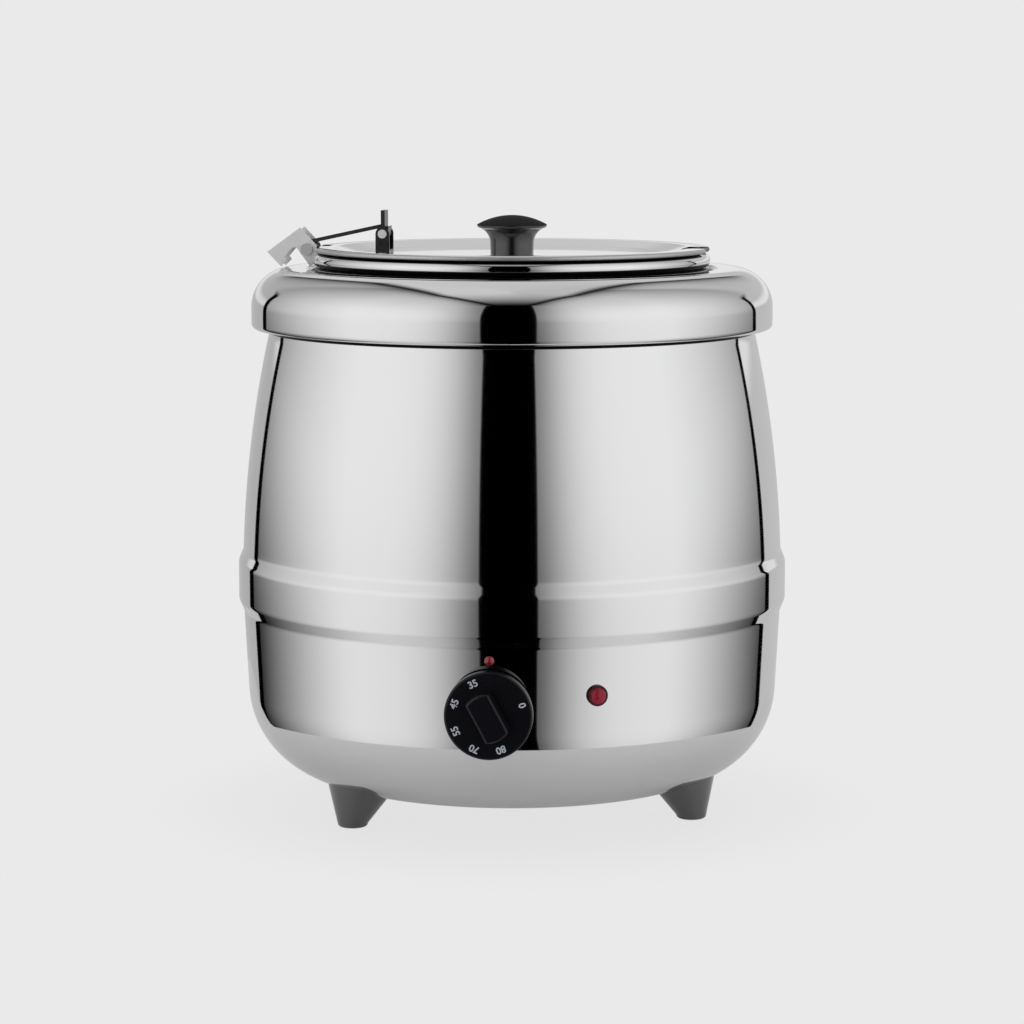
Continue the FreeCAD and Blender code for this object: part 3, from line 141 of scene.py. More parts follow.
def thickened(path, wall):
    """Closed loop of a path and the same path one wall further to its right."""
    along = np.gradient(path, axis=0)
    along /= np.hypot(along[:, 0], along[:, 1])[:, None]
    inner = path + wall * np.column_stack([along[:, 1], -along[:, 0]])
    return np.vstack([path, inner[::-1]])


# Meshes


def add_mesh(name, points, faces, rim=None):
    """Object at the origin from points in millimetres and faces, smooth except across creases.

    The rim, where given, is a share from 0 to 1 that is kept for each point.
    """
    mesh = bpy.data.meshes.new(name)
    mesh.from_pydata((np.asarray(points) * MM).tolist(), [], faces)
    mesh.validate()
    if rim is not None:
        mesh.attributes.new("rim", "FLOAT", "POINT").data.foreach_set("value", rim)
    mesh.polygons.foreach_set("use_smooth", np.ones(len(mesh.polygons), bool))
    mesh.set_sharp_from_angle(angle=CREASE)
    mesh.update()
    piece = bpy.data.objects.new(name, mesh)
    bpy.context.scene.collection.objects.link(piece)
    return piece


def grid_faces(rows, columns, wrap_rows):
    """Quads of a grid that closes round its columns, and round its rows too where asked."""
    row = np.arange(rows if wrap_rows else rows - 1)[:, None]
    column = np.arange(columns)[None, :]
    following = (row + 1) % rows
    beside = (column + 1) % columns
    quads = np.stack([row * columns + column, row * columns + beside,
                      following * columns + beside, following * columns + column], axis=-1)
    return quads.reshape(-1, 4).tolist()


def fan_faces(pole, ring, outward):
    """Triangles from a pole to a ring of points."""
    beside = np.roll(ring, -1)
    order = (ring, beside) if outward else (beside, ring)
    return np.column_stack([np.full(len(ring), pole), *order]).tolist()


def revolved(name, loop):
    """Closed loop of (radius, height) carried round the upright axis: (r cos a, r sin a, h)."""
    angle = np.linspace(0, 2 * math.pi, SEGMENTS, endpoint=False)
    radius = loop[:, 0][:, None]
    points = np.stack([radius * np.cos(angle), radius * np.sin(angle),
                       np.repeat(loop[:, 1][:, None], SEGMENTS, 1)], axis=-1)
    return add_mesh(name, points.reshape(-1, 3), grid_faces(len(loop), SEGMENTS, True))


def domed(name, path, segments=SEGMENTS):
    """Path of (radius, height) from the upright axis back to it, carried round it; fans close the poles."""
    angle = np.linspace(0, 2 * math.pi, segments, endpoint=False)
    inner = path[1:-1]
    radius = inner[:, 0][:, None]
    points = np.stack([radius * np.cos(angle), radius * np.sin(angle),
                       np.repeat(inner[:, 1][:, None], segments, 1)], axis=-1).reshape(-1, 3)
    points = np.vstack([points, [[0, 0, path[0, 1]], [0, 0, path[-1, 1]]]])
    faces = grid_faces(len(inner), segments, False)
    first = np.arange(segments)
    last = first + (len(inner) - 1) * segments
    faces += fan_faces(len(points) - 2, first, False)
    faces += fan_faces(len(points) - 1, last, True)
    return add_mesh(name, points, faces)


def faced_front(piece, bearing, height):
    """Turns a piece made about +Z so that +Z points out of the front at a bearing and height."""
    mesh = piece.data
    points = np.empty(len(mesh.vertices) * 3)
    mesh.vertices.foreach_get("co", points)
    across, up, out = points.reshape(-1, 3).T
    turn = math.radians(bearing)
    placed = np.column_stack([across * math.cos(turn) + out * math.sin(turn),
                              across * math.sin(turn) - out * math.cos(turn),
                              up + height * MM])
    mesh.vertices.foreach_set("co", placed.ravel())
    mesh.update()
    return piece


# Shader graphs


class Signal:
    """A number inside a shader graph: sums, products and powers of it become Math nodes."""

    def __init__(self, graph, socket):
        self.graph = graph
        self.socket = socket

    def __add__(self, other):
        return self.graph.math("ADD", self, other)

    def __radd__(self, other):
        return self.graph.math("ADD", other, self)

    def __sub__(self, other):
        return self.graph.math("SUBTRACT", self, other)

    def __rsub__(self, other):
        return self.graph.math("SUBTRACT", other, self)

    def __mul__(self, other):
        return self.graph.math("MULTIPLY", self, other)

    def __rmul__(self, other):
        return self.graph.math("MULTIPLY", other, self)

    def __truediv__(self, other):
        return self.graph.math("DIVIDE", self, other)

    def __pow__(self, other):
        return self.graph.math("POWER", self, other)


class Graph:
    """Builds the nodes of one material or of the world."""

    def __init__(self, tree):
        self.tree = tree
        tree.nodes.clear()

    def node(self, kind, settings, sockets):
        """Any node: its settings first, then its inputs as numbers, colours or signals."""
        node = self.tree.nodes.new(kind)
        for name, value in settings.items():
            setattr(node, name, value)
        for name, value in sockets.items():
            self.feed(node.inputs[name], value)
        return node

    def feed(self, socket, value):
        """Links a signal or a node's socket to an input, or sets the input's own value."""
        if isinstance(value, Signal):
            value = value.socket
        if isinstance(value, bpy.types.NodeSocket):
            self.tree.links.new(value, socket)
        else:
            socket.default_value = value

    def math(self, operation, *values):
        """Result of one Math node as a signal."""
        node = self.node("ShaderNodeMath", {"operation": operation}, dict(enumerate(values)))
        return Signal(self, node.outputs[0])

    def step(self, value, low, high):
        """0 below low, 1 above high, smooth between."""
        node = self.node("ShaderNodeMapRange", {"interpolation_type": "SMOOTHSTEP"},
                         {"Value": value, "From Min": low, "From Max": high})
        return Signal(self, node.outputs["Result"])

    def passed(self, length, place, change):
        """0 to 1 as a length in metres passes a place; place and change (from, to) are in millimetres."""
        return self.step(length, *((place + edge) * MM for edge in change))

    def place(self):
        """Position in the object's own coordinates: the whole, and X, Y and Z as signals."""
        where = self.node("ShaderNodeTexCoord", {}, {}).outputs["Object"]
        parts = self.node("ShaderNodeSeparateXYZ", {}, {"Vector": where})
        return where, *(Signal(self, parts.outputs[axis]) for axis in "XYZ")

    def noise(self, where, scale, detail, stretch=(1, 1, 1)):
        """Cloudy noise between 0 and 1 over a stretched position."""
        placed = self.node("ShaderNodeMapping", {}, {"Vector": where, "Scale": stretch})
        node = self.node("ShaderNodeTexNoise", {},
                         {"Vector": placed.outputs[0], "Scale": scale, "Detail": detail})
        return Signal(self, node.outputs["Fac"])

    def mixed(self, share, first, second):
        """Colour that goes from the first to the second as the share goes from 0 to 1."""
        node = self.node("ShaderNodeMix", {"data_type": "RGBA"}, {"Factor": share})
        self.feed(node.inputs[6], first)
        self.feed(node.inputs[7], second)
        return node.outputs[2]

    def bump(self, height, strength, distance):
        """Normal tipped by the slope of a height."""
        node = self.node("ShaderNodeBump", {},
                         {"Height": height, "Strength": strength, "Distance": distance})
        return node.outputs["Normal"]

    def shared(self, share, first, second):
        """Shader that goes from the first to the second as the share goes from 0 to 1."""
        node = self.node("ShaderNodeMixShader", {}, {0: share})
        self.feed(node.inputs[1], first.outputs[0])
        self.feed(node.inputs[2], second.outputs[0])
        return node

    def finish(self, shader, kind="ShaderNodeOutputMaterial"):
        """Sends a shader to the output."""
        self.node(kind, {}, {"Surface": shader.outputs[0]})

    def principled(self, sockets):
        """One principled surface with these inputs, sent to the output."""
        self.finish(self.node("ShaderNodeBsdfPrincipled", {}, sockets))


def new_material(name):
    """Empty material and the graph that fills it."""
    material = bpy.data.materials.new(name)
    material.use_nodes = True
    return material, Graph(material.node_tree)


def grey(value):
    """Opaque grey of one value."""
    return (value, value, value, 1.0)


STEEL = (0.76, 0.76, 0.765, 1)
POLISH_STRETCH = (1.0, 1.0, 0.12)
DULLING = 0.3
FINE_GRAIN = (1400.0, 2.0)

# Where painted shade or a finish changes, from and to, in millimetres past the place that it is measured
# from
NECK_SHADE = (-2.6, -2.2)
SEAT_SHADE = (-3.0, -1.5)
BEAD_SHADE = (-1.6, -0.9)
RIM_UNDER_SHADE = (0.2, 0.8)
CROWN_MATT = (-6.6, -5.6)
FLANGE_DARK = (-2.2, -0.6)


def polished_sheet(name, shade_part=None, shade_tone=0.0):
    """Mirror-polished stainless with faint polishing marks, and painted shade where a part is given: that
    part goes dark and rougher.
    """
    material, graph = new_material(name)
    place = graph.place()
    roughness = 0.03 + graph.noise(place[0], 60.0, 3.0, POLISH_STRETCH) * 0.03
    colour = STEEL
    if shade_part:
        # Painted shade: the given part's colour is mixed to the dark tone.
        dull = shade_part(graph, place)
        colour = graph.mixed(dull, STEEL, grey(shade_tone))
        roughness = roughness + dull * DULLING
    graph.principled({"Base Color": colour, "Metallic": 1.0, "Roughness": roughness})
    return material


def neck_shade(graph, place):
    """1 on the jacket's neck, from just under the collar's foot upwards, where shade is painted under the
    collar.
    """
    return graph.passed(place[-1], COLLAR_FOOT, NECK_SHADE)


def seat_shade(graph, place):
    """1 on the collar's stepped seat, inside the opening, where shade is painted next to the ring."""
    _, x, y, _ = place
    reach = graph.math("SQRT", x * x + y * y)
    return 1 - graph.passed(reach, SEAT_RADIUS, SEAT_SHADE)


def under_bead_shade(graph, place):
    """1 on the ring's underside, below the bead's middle, where shade is painted under the bead."""
    return 1 - graph.passed(place[-1], BEAD_HEIGHT, BEAD_SHADE)


def lid_steel():
    """Polished lid with a brushed rolled rim, and painted shade on the rim's underside over the bead."""
    material, graph = new_material("lid_steel")
    where, _, _, height = graph.place()
    rim = Signal(graph, graph.node("ShaderNodeAttribute", {"attribute_name": "rim"}, {}).outputs["Fac"])
    grain = graph.noise(where, 300.0, 2.0)
    # Painted shade: the rolled rim's underside, over the bead, goes nearly black.
    under = rim * (1 - graph.passed(height, LID_FOOT, RIM_UNDER_SHADE))
    brushed = graph.mixed(rim, STEEL, grey(0.58))
    graph.principled({
        "Base Color": graph.mixed(under, brushed, grey(0.012)), "Metallic": 1.0,
        "Roughness": 0.05 + rim * (0.36 + grain * 0.1)})
    return material


def satin_steel():
    """Plain rolled stainless: a broad sheen with fine grain."""
    material, graph = new_material("satin_steel")
    where, *_ = graph.place()
    grain = graph.noise(where, 900.0, 2.0, (1.0, 0.08, 1.0))
    graph.principled({
        "Base Color": graph.mixed(grain, grey(0.74), grey(0.8)), "Metallic": 1.0,
        "Roughness": 0.24 + grain * 0.14})
    return material


def bright_steel():
    """Plated hinge steel: brighter than the sheet, with a fine satin brush."""
    material, graph = new_material("bright_steel")
    where, *_ = graph.place()
    grain = graph.noise(where, 500.0, 2.0, (0.1, 1.0, 1.0))
    graph.principled({
        "Base Color": graph.mixed(grain, grey(0.94), grey(1.0)), "Metallic": 0.25,
        "Roughness": 0.42 + grain * 0.1})
    return material


def dark_steel():
    """Blackened steel of the lid's arm and clevis: smooth, with a little wear."""
    material, graph = new_material("dark_steel")
    where, *_ = graph.place()
    wear = graph.noise(where, 350.0, 3.0)
    graph.principled({
        "Base Color": graph.mixed(wear, grey(0.05), grey(0.09)), "Metallic": 1.0,
        "Roughness": 0.18 + wear * 0.12})
    return material


def black_plastic():
    """Moulded black plastic with a gloss skin and a fine texture."""
    material, graph = new_material("black_plastic")
    where, *_ = graph.place()
    fine = graph.noise(where, *FINE_GRAIN)
    cloud = graph.noise(where, 40.0, 3.0)
    graph.principled({
        "Base Color": graph.mixed(cloud, (0.006, 0.006, 0.007, 1), (0.011, 0.011, 0.013, 1)),
        "Roughness": 0.16 + fine * 0.08, "Specular IOR Level": 1.0,
        "Coat Weight": 1.0, "Coat IOR": 1.8, "Coat Roughness": 0.24,
        "Normal": graph.bump(fine, 0.06, 0.0002)})
    return material


def dial_plastic():
    """The dial's blue-black plastic with a dull, finely grained skin."""
    material, graph = new_material("dial_plastic")
    where, *_ = graph.place()
    fine = graph.noise(where, *FINE_GRAIN)
    graph.principled({
        "Base Color": graph.mixed(fine, (0.003, 0.003, 0.005, 1), (0.006, 0.006, 0.01, 1)),
        "Roughness": 0.22 + fine * 0.08, "Specular IOR Level": 0.3,
        "Normal": graph.bump(fine, 0.05, 0.0002)})
    return material


def knob_plastic():
    """The knob's black plastic: gloss on the stem and flare, rubbed matt on the crown."""
    material, graph = new_material("knob_plastic")
    where, _, _, height = graph.place()
    fine = graph.noise(where, *FINE_GRAIN)
    crown = graph.passed(height, KNOB_HIGH[2], CROWN_MATT)
    graph.principled({
        "Base Color": graph.mixed(fine, grey(0.005), grey(0.009)),
        "Roughness": 0.2 + fine * 0.08 + crown * 0.55, "Specular IOR Level": 0.3,
        "Coat Weight": 1 - crown, "Coat IOR": 1.75, "Coat Roughness": 0.2,
        "Normal": graph.bump(fine, 0.06, 0.0002)})
    return material


def red_plastic():
    """Clear red plastic: deep red under a hard gloss."""
    material, graph = new_material("red_plastic")
    where, *_ = graph.place()
    cloud = graph.noise(where, 300.0, 2.0)
    graph.principled({
        "Base Color": graph.mixed(cloud, (0.26, 0.003, 0.012, 1), (0.36, 0.006, 0.02, 1)),
        "Roughness": 0.08 + cloud * 0.05, "Specular IOR Level": 0.8})
    return material


def lens_red():
    """Lamp cap: crimson and grainy in the middle, nearly black at the flange."""
    material, graph = new_material("lens_red")
    where, x, y, height = graph.place()
    turn = math.radians(LAMP_BEARING)
    aside = x * math.cos(turn) + y * math.sin(turn)
    up = height - LAMP_HEIGHT * MM
    reach = graph.math("SQRT", aside * aside + up * up)
    edge = graph.passed(reach, LAMP_RADIUS, FLANGE_DARK)
    grain = graph.noise(where, 900.0, 2.0)
    middle = graph.mixed(grain, (0.2, 0.004, 0.016, 1), (0.52, 0.03, 0.07, 1))
    graph.principled({
        "Base Color": graph.mixed(edge, middle, (0.035, 0.001, 0.003, 1)),
        "Roughness": 0.14 + grain * 0.1, "Specular IOR Level": 0.25,
        "Normal": graph.bump(grain, 0.3, 0.0003)})
    return material


def white_print():
    """White pad print of the dial's figures."""
    material, graph = new_material("white_print")
    where, *_ = graph.place()
    fine = graph.noise(where, 900.0, 2.0)
    graph.principled({
        "Base Color": graph.mixed(fine, (0.56, 0.6, 0.68, 1), (0.68, 0.72, 0.8, 1)), "Roughness": 0.55})
    return material


def cast_aluminium():
    """Bare casting with a cloudy, dull skin."""
    material, graph = new_material("cast_aluminium")
    where, *_ = graph.place()
    cloud = graph.noise(where, 200.0, 3.0)
    graph.principled({
        "Base Color": grey(0.6), "Metallic": 1.0, "Roughness": 0.4 + cloud * 0.15})
    return material


def copper_tube():
    """Drawn copper with a cloudy sheen."""
    material, graph = new_material("copper_tube")
    where, *_ = graph.place()
    cloud = graph.noise(where, 150.0, 3.0)
    graph.principled({
        "Base Color": (0.72, 0.42, 0.27, 1), "Metallic": 1.0, "Roughness": 0.25 + cloud * 0.1})
    return material


MATERIALS = {
    "polished_steel": polished_sheet("polished_steel"),
    "satin_steel": satin_steel(),
    "black_plastic": black_plastic(),
    "red_plastic": red_plastic(),
    "copper_tube": copper_tube(),
    "cast_aluminium": cast_aluminium(),
    "dark_steel": dark_steel(),
}


def dress(piece, material):
    """Gives a piece one material all over."""
    piece.data.materials.clear()
    piece.data.materials.append(material)


def fit_piece(piece, node, body, slot, material=None):
    """The piece stands for a node, moves with its body and has its slot's finish or its own."""
    dress(piece, material or MATERIALS[slot])
    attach(piece, body)
    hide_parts(node)


# Polished sheet


JACKET_FLOOR = SHELL_LOW[2]
BASE_OPENING = 88.0
BELLY_RADIUS = RIB_RADIUS - 3.0
SKIRT_RADIUS = BELLY_RADIUS - 5.2
SKIRT_BEND = 56.0
RIB_FOOT = 121.5
RIB_LOW = 128.5
RIB_HIGH = 151.0
RIB_CROWN = 158.0
RIB_FOOT_ROUND = 6.0
RIB_CROWN_ROUND = 9.0
WAIST_RADIUS = RIB_RADIUS - 2.9
BARREL_TOP = 289.0
BARREL_BOW = 700.0
BARREL_POINTS = 30
COLLAR_LIP = 3.0
COLLAR_FOOT_ROUND = 3.0
SHOULDER_ROUND = 23.0
SEAT_STEP = 1.5
WELL_LIP_RADIUS = 115.0
WELL_LIP = 8.0
FOLD = 0.6
RING_SKIRT = 109.4
RING_FOLD = 1.2


def jacket_wall():
    """Path of the outer wall: floor opening, rounded foot, tapered skirt, rib, bowed barrel and neck."""
    barrel = arc_points((WAIST_RADIUS, RIB_CROWN), (NECK_RADIUS, BARREL_TOP), BARREL_BOW, BARREL_POINTS)
    corners = [(BASE_OPENING, JACKET_FLOOR, 0), (SKIRT_RADIUS, JACKET_FLOOR, SKIRT_BEND),
               (BELLY_RADIUS, RIB_FOOT, RIB_FOOT_ROUND), (RIB_RADIUS, RIB_LOW, RIB_FOOT_ROUND),
               (RIB_RADIUS, RIB_HIGH, RIB_CROWN_ROUND), (*barrel[0], RIB_CROWN_ROUND)]
    corners += [(*point, 0) for point in barrel[1:]]
    return rounded_path(corners + [(NECK_RADIUS, SHELL_HIGH[2], 0)])


def jacket():
    """The outer wall's path, one sheet thick, carried round the axis."""
    return revolved("jacket", thickened(jacket_wall()[::-1], WALL)[::-1])


def collar():
    """Rolled cap: lip under the foot, round shoulder, flat top, step to the seat, lip into the well."""
    top = COLLAR_HIGH[2]
    outer = COLLAR_HIGH[0]
    seat = top - SEAT_STEP
    corners = [(NECK_RADIUS + COLLAR_LIP, COLLAR_FOOT, 0), (outer, COLLAR_FOOT, COLLAR_FOOT_ROUND),
               (outer, top, SHOULDER_ROUND), (SEAT_RADIUS, top, FOLD), (SEAT_RADIUS, seat, FOLD),
               (WELL_LIP_RADIUS, seat, FOLD), (WELL_LIP_RADIUS, seat - WELL_LIP, 0)]
    return revolved("collar", thickened(rounded_path(corners)[::-1], WALL)[::-1])


def ring():
    """Pot ring: skirt, top and rolled bead as one sheet, carried round the axis."""
    roll = rolled_edge((BEAD_MIDDLE, BEAD_HEIGHT), RING_HIGH[2] - BEAD_HEIGHT, 6.0)
    top = [(RING_SKIRT, RING_LOW[2], 0), (RING_SKIRT, RING_HIGH[2], RING_FOLD), (*roll[0], 0)]
    return revolved("ring", thickened(np.vstack([rounded_path(top), roll[1:]]), WALL)[::-1])


# Painted shade: the jacket's neck under the collar, the collar's seat and the ring's underside below the
# bead go nearly black.
fit_piece(jacket(), "outer_shell", "kettle", "polished_steel",
          polished_sheet("jacket_steel", neck_shade, 0.006))
fit_piece(collar(), "top_collar", "kettle", "polished_steel",
          polished_sheet("collar_steel", seat_shade, 0.02))
fit_piece(ring(), "pot_ring", "lid_ring", "polished_steel",
          polished_sheet("ring_steel", under_bead_shade, 0.012))


# Lid


LID_TURN = math.radians(-14.0)
LID_RADIUS = 118.4
LID_PANEL = LID_RIM - 3.5
PANEL_RINGS = (0.0, 20.0, 50.0, 80.0)
PANEL_EDGE = 90.0
SLOPE_FOOT = 94.0
SLOPE_FOOT_ROUND = 4.0
SLOPE_HEAD = 106.0
SLOPE_HEAD_ROUND = 6.0
SLOPE_SHIFT = 0.4
RIM_ROUND = 1.5
ROLL_DROP = 0.25
HEM_RADIUS = 113.0
LADLE_ROOT = 101.0
LADLE_HALF = 13.0
HINGE_ROOT = 110.0
HINGE_HALF = 9.05
NOTCH_SPAN = 9.0
NOTCH_STEP = 0.15


def lid_path():
    """Top of the lid from its middle over the slope to the rim, then rolled rim, hem and underside back."""
    roll = rolled_edge((LID_RADIUS - RIM_ROUND, LID_RIM - RIM_ROUND), RIM_ROUND, 15.0)
    panel = [(radius, LID_PANEL) for radius in PANEL_RINGS]
    slope = rounded_path([(PANEL_EDGE, LID_PANEL, 0), (SLOPE_FOOT, LID_PANEL, SLOPE_FOOT_ROUND),
                          (SLOPE_HEAD, LID_RIM, SLOPE_HEAD_ROUND), (*roll[0], 0)])
    hem = LID_FOOT + WALL
    inside = LID_RADIUS - WALL
    under = [(HEM_RADIUS, LID_FOOT), (HEM_RADIUS, hem), (inside, hem), (inside, LID_RIM - WALL),
             (SLOPE_HEAD + SLOPE_SHIFT, LID_RIM - WALL), (SLOPE_FOOT + SLOPE_SHIFT, LID_PANEL - WALL)]
    under += [(radius, LID_PANEL - WALL) for radius in PANEL_RINGS[::-1]]
    return np.vstack([panel, slope]), np.vstack([roll[1:], under])


def notch_edge(angle, root, half):
    """Radius of a notch's straight root within its width about angle 0, and no limit outside it."""
    inside = np.abs(angle) < math.atan2(half, (root + LID_RADIUS) / 2)
    return np.where(inside, root / np.cos(angle), np.inf)


def half_turn(angle):
    """The angle on the other side of the axis, kept within half a turn of 0."""
    return np.where(angle < 0, angle + math.pi, angle - math.pi)


def lid():
    """The lid's path carried round the axis; what lies past a notch's edge is drawn back to it."""
    even = np.linspace(-math.pi, math.pi, SEGMENTS, endpoint=False)
    fine = np.radians(np.arange(-NOTCH_SPAN, NOTCH_SPAN, NOTCH_STEP))
    angle = np.unique(np.concatenate([even, fine, half_turn(fine)]))
    ladle = notch_edge(angle, LADLE_ROOT, LADLE_HALF)
    edge = np.minimum(ladle, notch_edge(half_turn(angle), HINGE_ROOT, HINGE_HALF))
    top, under = lid_path()
    path = np.vstack([top, under])[1:-1]
    sheet = np.where(np.arange(len(path)) < len(top) - 1, 0.0, WALL)
    cut = np.interp(edge, top[:, 0], top[:, 1]) - sheet[:, None]
    past = path[:, :1] > edge
    radius = np.where(past, edge, path[:, :1])
    height = np.where(past, cut, path[:, 1:])
    bearing = angle + LID_TURN
    points = np.stack([radius * np.cos(bearing), radius * np.sin(bearing), height], axis=-1)
    points = np.vstack([points.reshape(-1, 3), [[0, 0, top[0, 1]], [0, 0, under[-1, 1]]]])
    columns = np.arange(len(angle))
    faces = [face[::-1] for face in grid_faces(len(path), len(angle), False)]
    faces += fan_faces(len(points) - 2, columns, True)
    faces += fan_faces(len(points) - 1, columns + (len(path) - 1) * len(angle), False)
    rolled = (path[:, 0] > HINGE_ROOT) & (path[:, 1] < LID_RIM - ROLL_DROP)
    rim = np.append(np.repeat(rolled, len(angle)), [False, False])
    return add_mesh("lid_sheet", points, faces, rim.astype(float))


fit_piece(lid(), "lid", "lid", "polished_steel", lid_steel())


# Lid knob


STEM_RADIUS = 13.0
STEM_HEIGHT = 5.5
FLARE_BEND = 10.0
FLARE_RADIUS = 20.3
FLARE_HEIGHT = 15.1
KNOB_RIM = 21.3
RIM_HEIGHT = 16.5
KNOB_RIM_ROUND = 0.8
CROWN_EDGE = 20.6
CROWN_FOOT = 16.6
FLARE_POINTS = 14
CROWN_POINTS = 16
KNOB_SEGMENTS = 160


def dome_path(span, reach, top, rise, count):
    """Arc from a reach to the axis, on the circle that rises by the given height over the span."""
    radius = (span ** 2 + rise ** 2) / (2 * rise)
    turn = np.linspace(math.asin(reach / radius), 0, count)
    return np.column_stack([radius * np.sin(turn), top - radius * (1 - np.cos(turn))])


def knob():
    """Lifting knob: straight stem, flare, thin rim and low crown, carried round the axis."""
    base = KNOB_LOW[2]
    top = KNOB_HIGH[2]
    stem = (STEM_RADIUS, base + STEM_HEIGHT)
    flare = arc_points((FLARE_RADIUS, base + FLARE_HEIGHT), stem, FLARE_BEND, FLARE_POINTS)
    crown = dome_path(KNOB_RIM, CROWN_EDGE, top, top - base - CROWN_FOOT, CROWN_POINTS)
    corners = [(0, base, 0), (STEM_RADIUS, base, 0)] + [(*point, 0) for point in flare[::-1]]
    corners += [(KNOB_RIM, base + RIM_HEIGHT, KNOB_RIM_ROUND)] + [(*point, 0) for point in crown]
    return domed("knob", rounded_path(corners), KNOB_SEGMENTS)


fit_piece(knob(), "lid_knob", "lid", "black_plastic", knob_plastic())


# Feet


FOOT_RING = 117.0
FOOT_TIP = 9.0
FOOT_EASE = 2.0
FOOT_TOP = 36.0
FOOT_TOP_RADIUS = 27.0
FOOT_LEAN = 12.0
FOOT_SINK = 0.2
SKIRT_MARGIN = 1.0
FOOT_TIP_ROWS = 7
FOOT_SIDE_ROWS = 14
FOOT_SEGMENTS = 96
FOOT_BEARINGS = {"left": -60.0, "right": 60.0, "rear": 180.0}
HALVINGS = 30


def foot_rows(height):
    """Reach of a foot's axis and its radius at a height: straight from the eased tip to the wide top."""
    share = np.clip((height - FOOT_EASE) / (FOOT_TOP - FOOT_EASE), 0, 1)
    eased = np.clip(FOOT_EASE - height, 0, FOOT_EASE)
    radius = FOOT_TIP + (FOOT_TOP_RADIUS - FOOT_TIP) * share
    radius = radius - FOOT_EASE + np.sqrt(FOOT_EASE ** 2 - eased ** 2)
    return FOOT_RING - FOOT_LEAN * share, radius


def foot(name, bearing):
    """Leaning cone from an eased tip: each line up its side ends where it meets the rounded jacket.

    Halving the height again and again finds that end; it goes a little way into the sheet.
    """
    angle = np.linspace(0, 2 * math.pi, FOOT_SEGMENTS, endpoint=False)
    wall = jacket_wall()
    wall = wall[:np.argmax(wall[:, 0] > SKIRT_RADIUS - SKIRT_MARGIN)]
    low = np.full(FOOT_SEGMENTS, FOOT_EASE)
    high = np.full(FOOT_SEGMENTS, FOOT_TOP)
    for _ in range(HALVINGS):
        middle = (low + high) / 2
        reach, radius = foot_rows(middle)
        out = np.hypot(reach + radius * np.cos(angle), radius * np.sin(angle))
        beneath = middle < np.interp(out, wall[:, 0], wall[:, 1])
        low = np.where(beneath, middle, low)
        high = np.where(beneath, high, middle)
    tip = FOOT_EASE * (1 - np.cos(np.linspace(0, math.pi / 2, FOOT_TIP_ROWS)))
    share = np.linspace(0, 1, FOOT_SIDE_ROWS)[1:, None]
    straight = FOOT_EASE + share * (high - FOOT_EASE + FOOT_SINK)
    height = np.vstack([np.repeat(tip[:, None], FOOT_SEGMENTS, 1), straight])
    reach, radius = foot_rows(height)
    out = reach + radius * np.cos(angle)
    aside = radius * np.sin(angle)
    turn = math.radians(bearing)
    points = np.stack([out * math.sin(turn) + aside * math.cos(turn),
                       aside * math.sin(turn) - out * math.cos(turn), height], axis=-1)
    rows = len(height)
    centre = points.mean(axis=1)
    points = np.vstack([points.reshape(-1, 3), [centre[0], centre[-1]]])
    ring = np.arange(FOOT_SEGMENTS)
    faces = grid_faces(rows, FOOT_SEGMENTS, False)
    faces += fan_faces(len(points) - 2, ring, False)
    faces += fan_faces(len(points) - 1, ring + (rows - 1) * FOOT_SEGMENTS, True)
    return add_mesh(name, points, faces)


for name, bearing in FOOT_BEARINGS.items():
    fit_piece(foot(f"{name}_foot", bearing), f"foot_{name}", "kettle", "black_plastic")


# Lamp cap


LAMP_WALL = 160.8
LAMP_GAP = 0.5
LAMP_STEM = 4.4
LAMP_STEM_DEPTH = 2.0
LAMP_FLANGE = 1.5
LAMP_DOME = 4.8
LAMP_RISE = 3.0
LAMP_BACK_ROUND = 0.2
LAMP_FACE_ROUND = 0.5
LAMP_POINTS = 12
LAMP_SEGMENTS = 72


def lens():
    """Lamp cap: flange and low dome carried round the lamp's own axis, then set into the front wall."""
    back = LAMP_WALL + LAMP_GAP
    face = back + LAMP_FLANGE
    deep = back - LAMP_STEM_DEPTH
    corners = [(0, deep, 0), (LAMP_STEM, deep, 0), (LAMP_STEM, back, 0),
               (LAMP_RADIUS, back, LAMP_BACK_ROUND), (LAMP_RADIUS, face, LAMP_FACE_ROUND)]
    dome = dome_path(LAMP_DOME, LAMP_DOME, face + LAMP_RISE, LAMP_RISE, LAMP_POINTS)
    piece = domed("lens", rounded_path(corners + [(*point, 0) for point in dome]), LAMP_SEGMENTS)
    return faced_front(piece, LAMP_BEARING, LAMP_HEIGHT)


fit_piece(lens(), "lamp_lens", "kettle", "red_plastic", lens_red())


# Nodes shown as they are


HINGE_STEEL = bright_steel()
OWN_FINISH = {
    "dial_knob": dial_plastic(),
    "hinge_bracket": HINGE_STEEL,
    "hinge_pin": MATERIALS["polished_steel"],
    "clevis_pin": HINGE_STEEL,
}
for entry in frame["record"]["subparts"]:
    name = entry["node"]
    dress(frame["nodes"][name], OWN_FINISH.get(name, MATERIALS[entry["material_slot"]]))


# Dial figures


FIGURES = {"0": 71.0, "35": -25.0, "45": -70.0, "55": -115.0, "70": -157.0, "80": -201.0}
DIAL_BEARING = -10.9
DIAL_HEIGHT = (DIAL_LOW[2] + DIAL_HIGH[2]) / 2
FIGURE_RADIUS = 20.0
FIGURE_SIZE = 5.6
FIGURE_WEIGHT = 0.13
FIGURE_FACE = 170.5
PRINT = white_print()


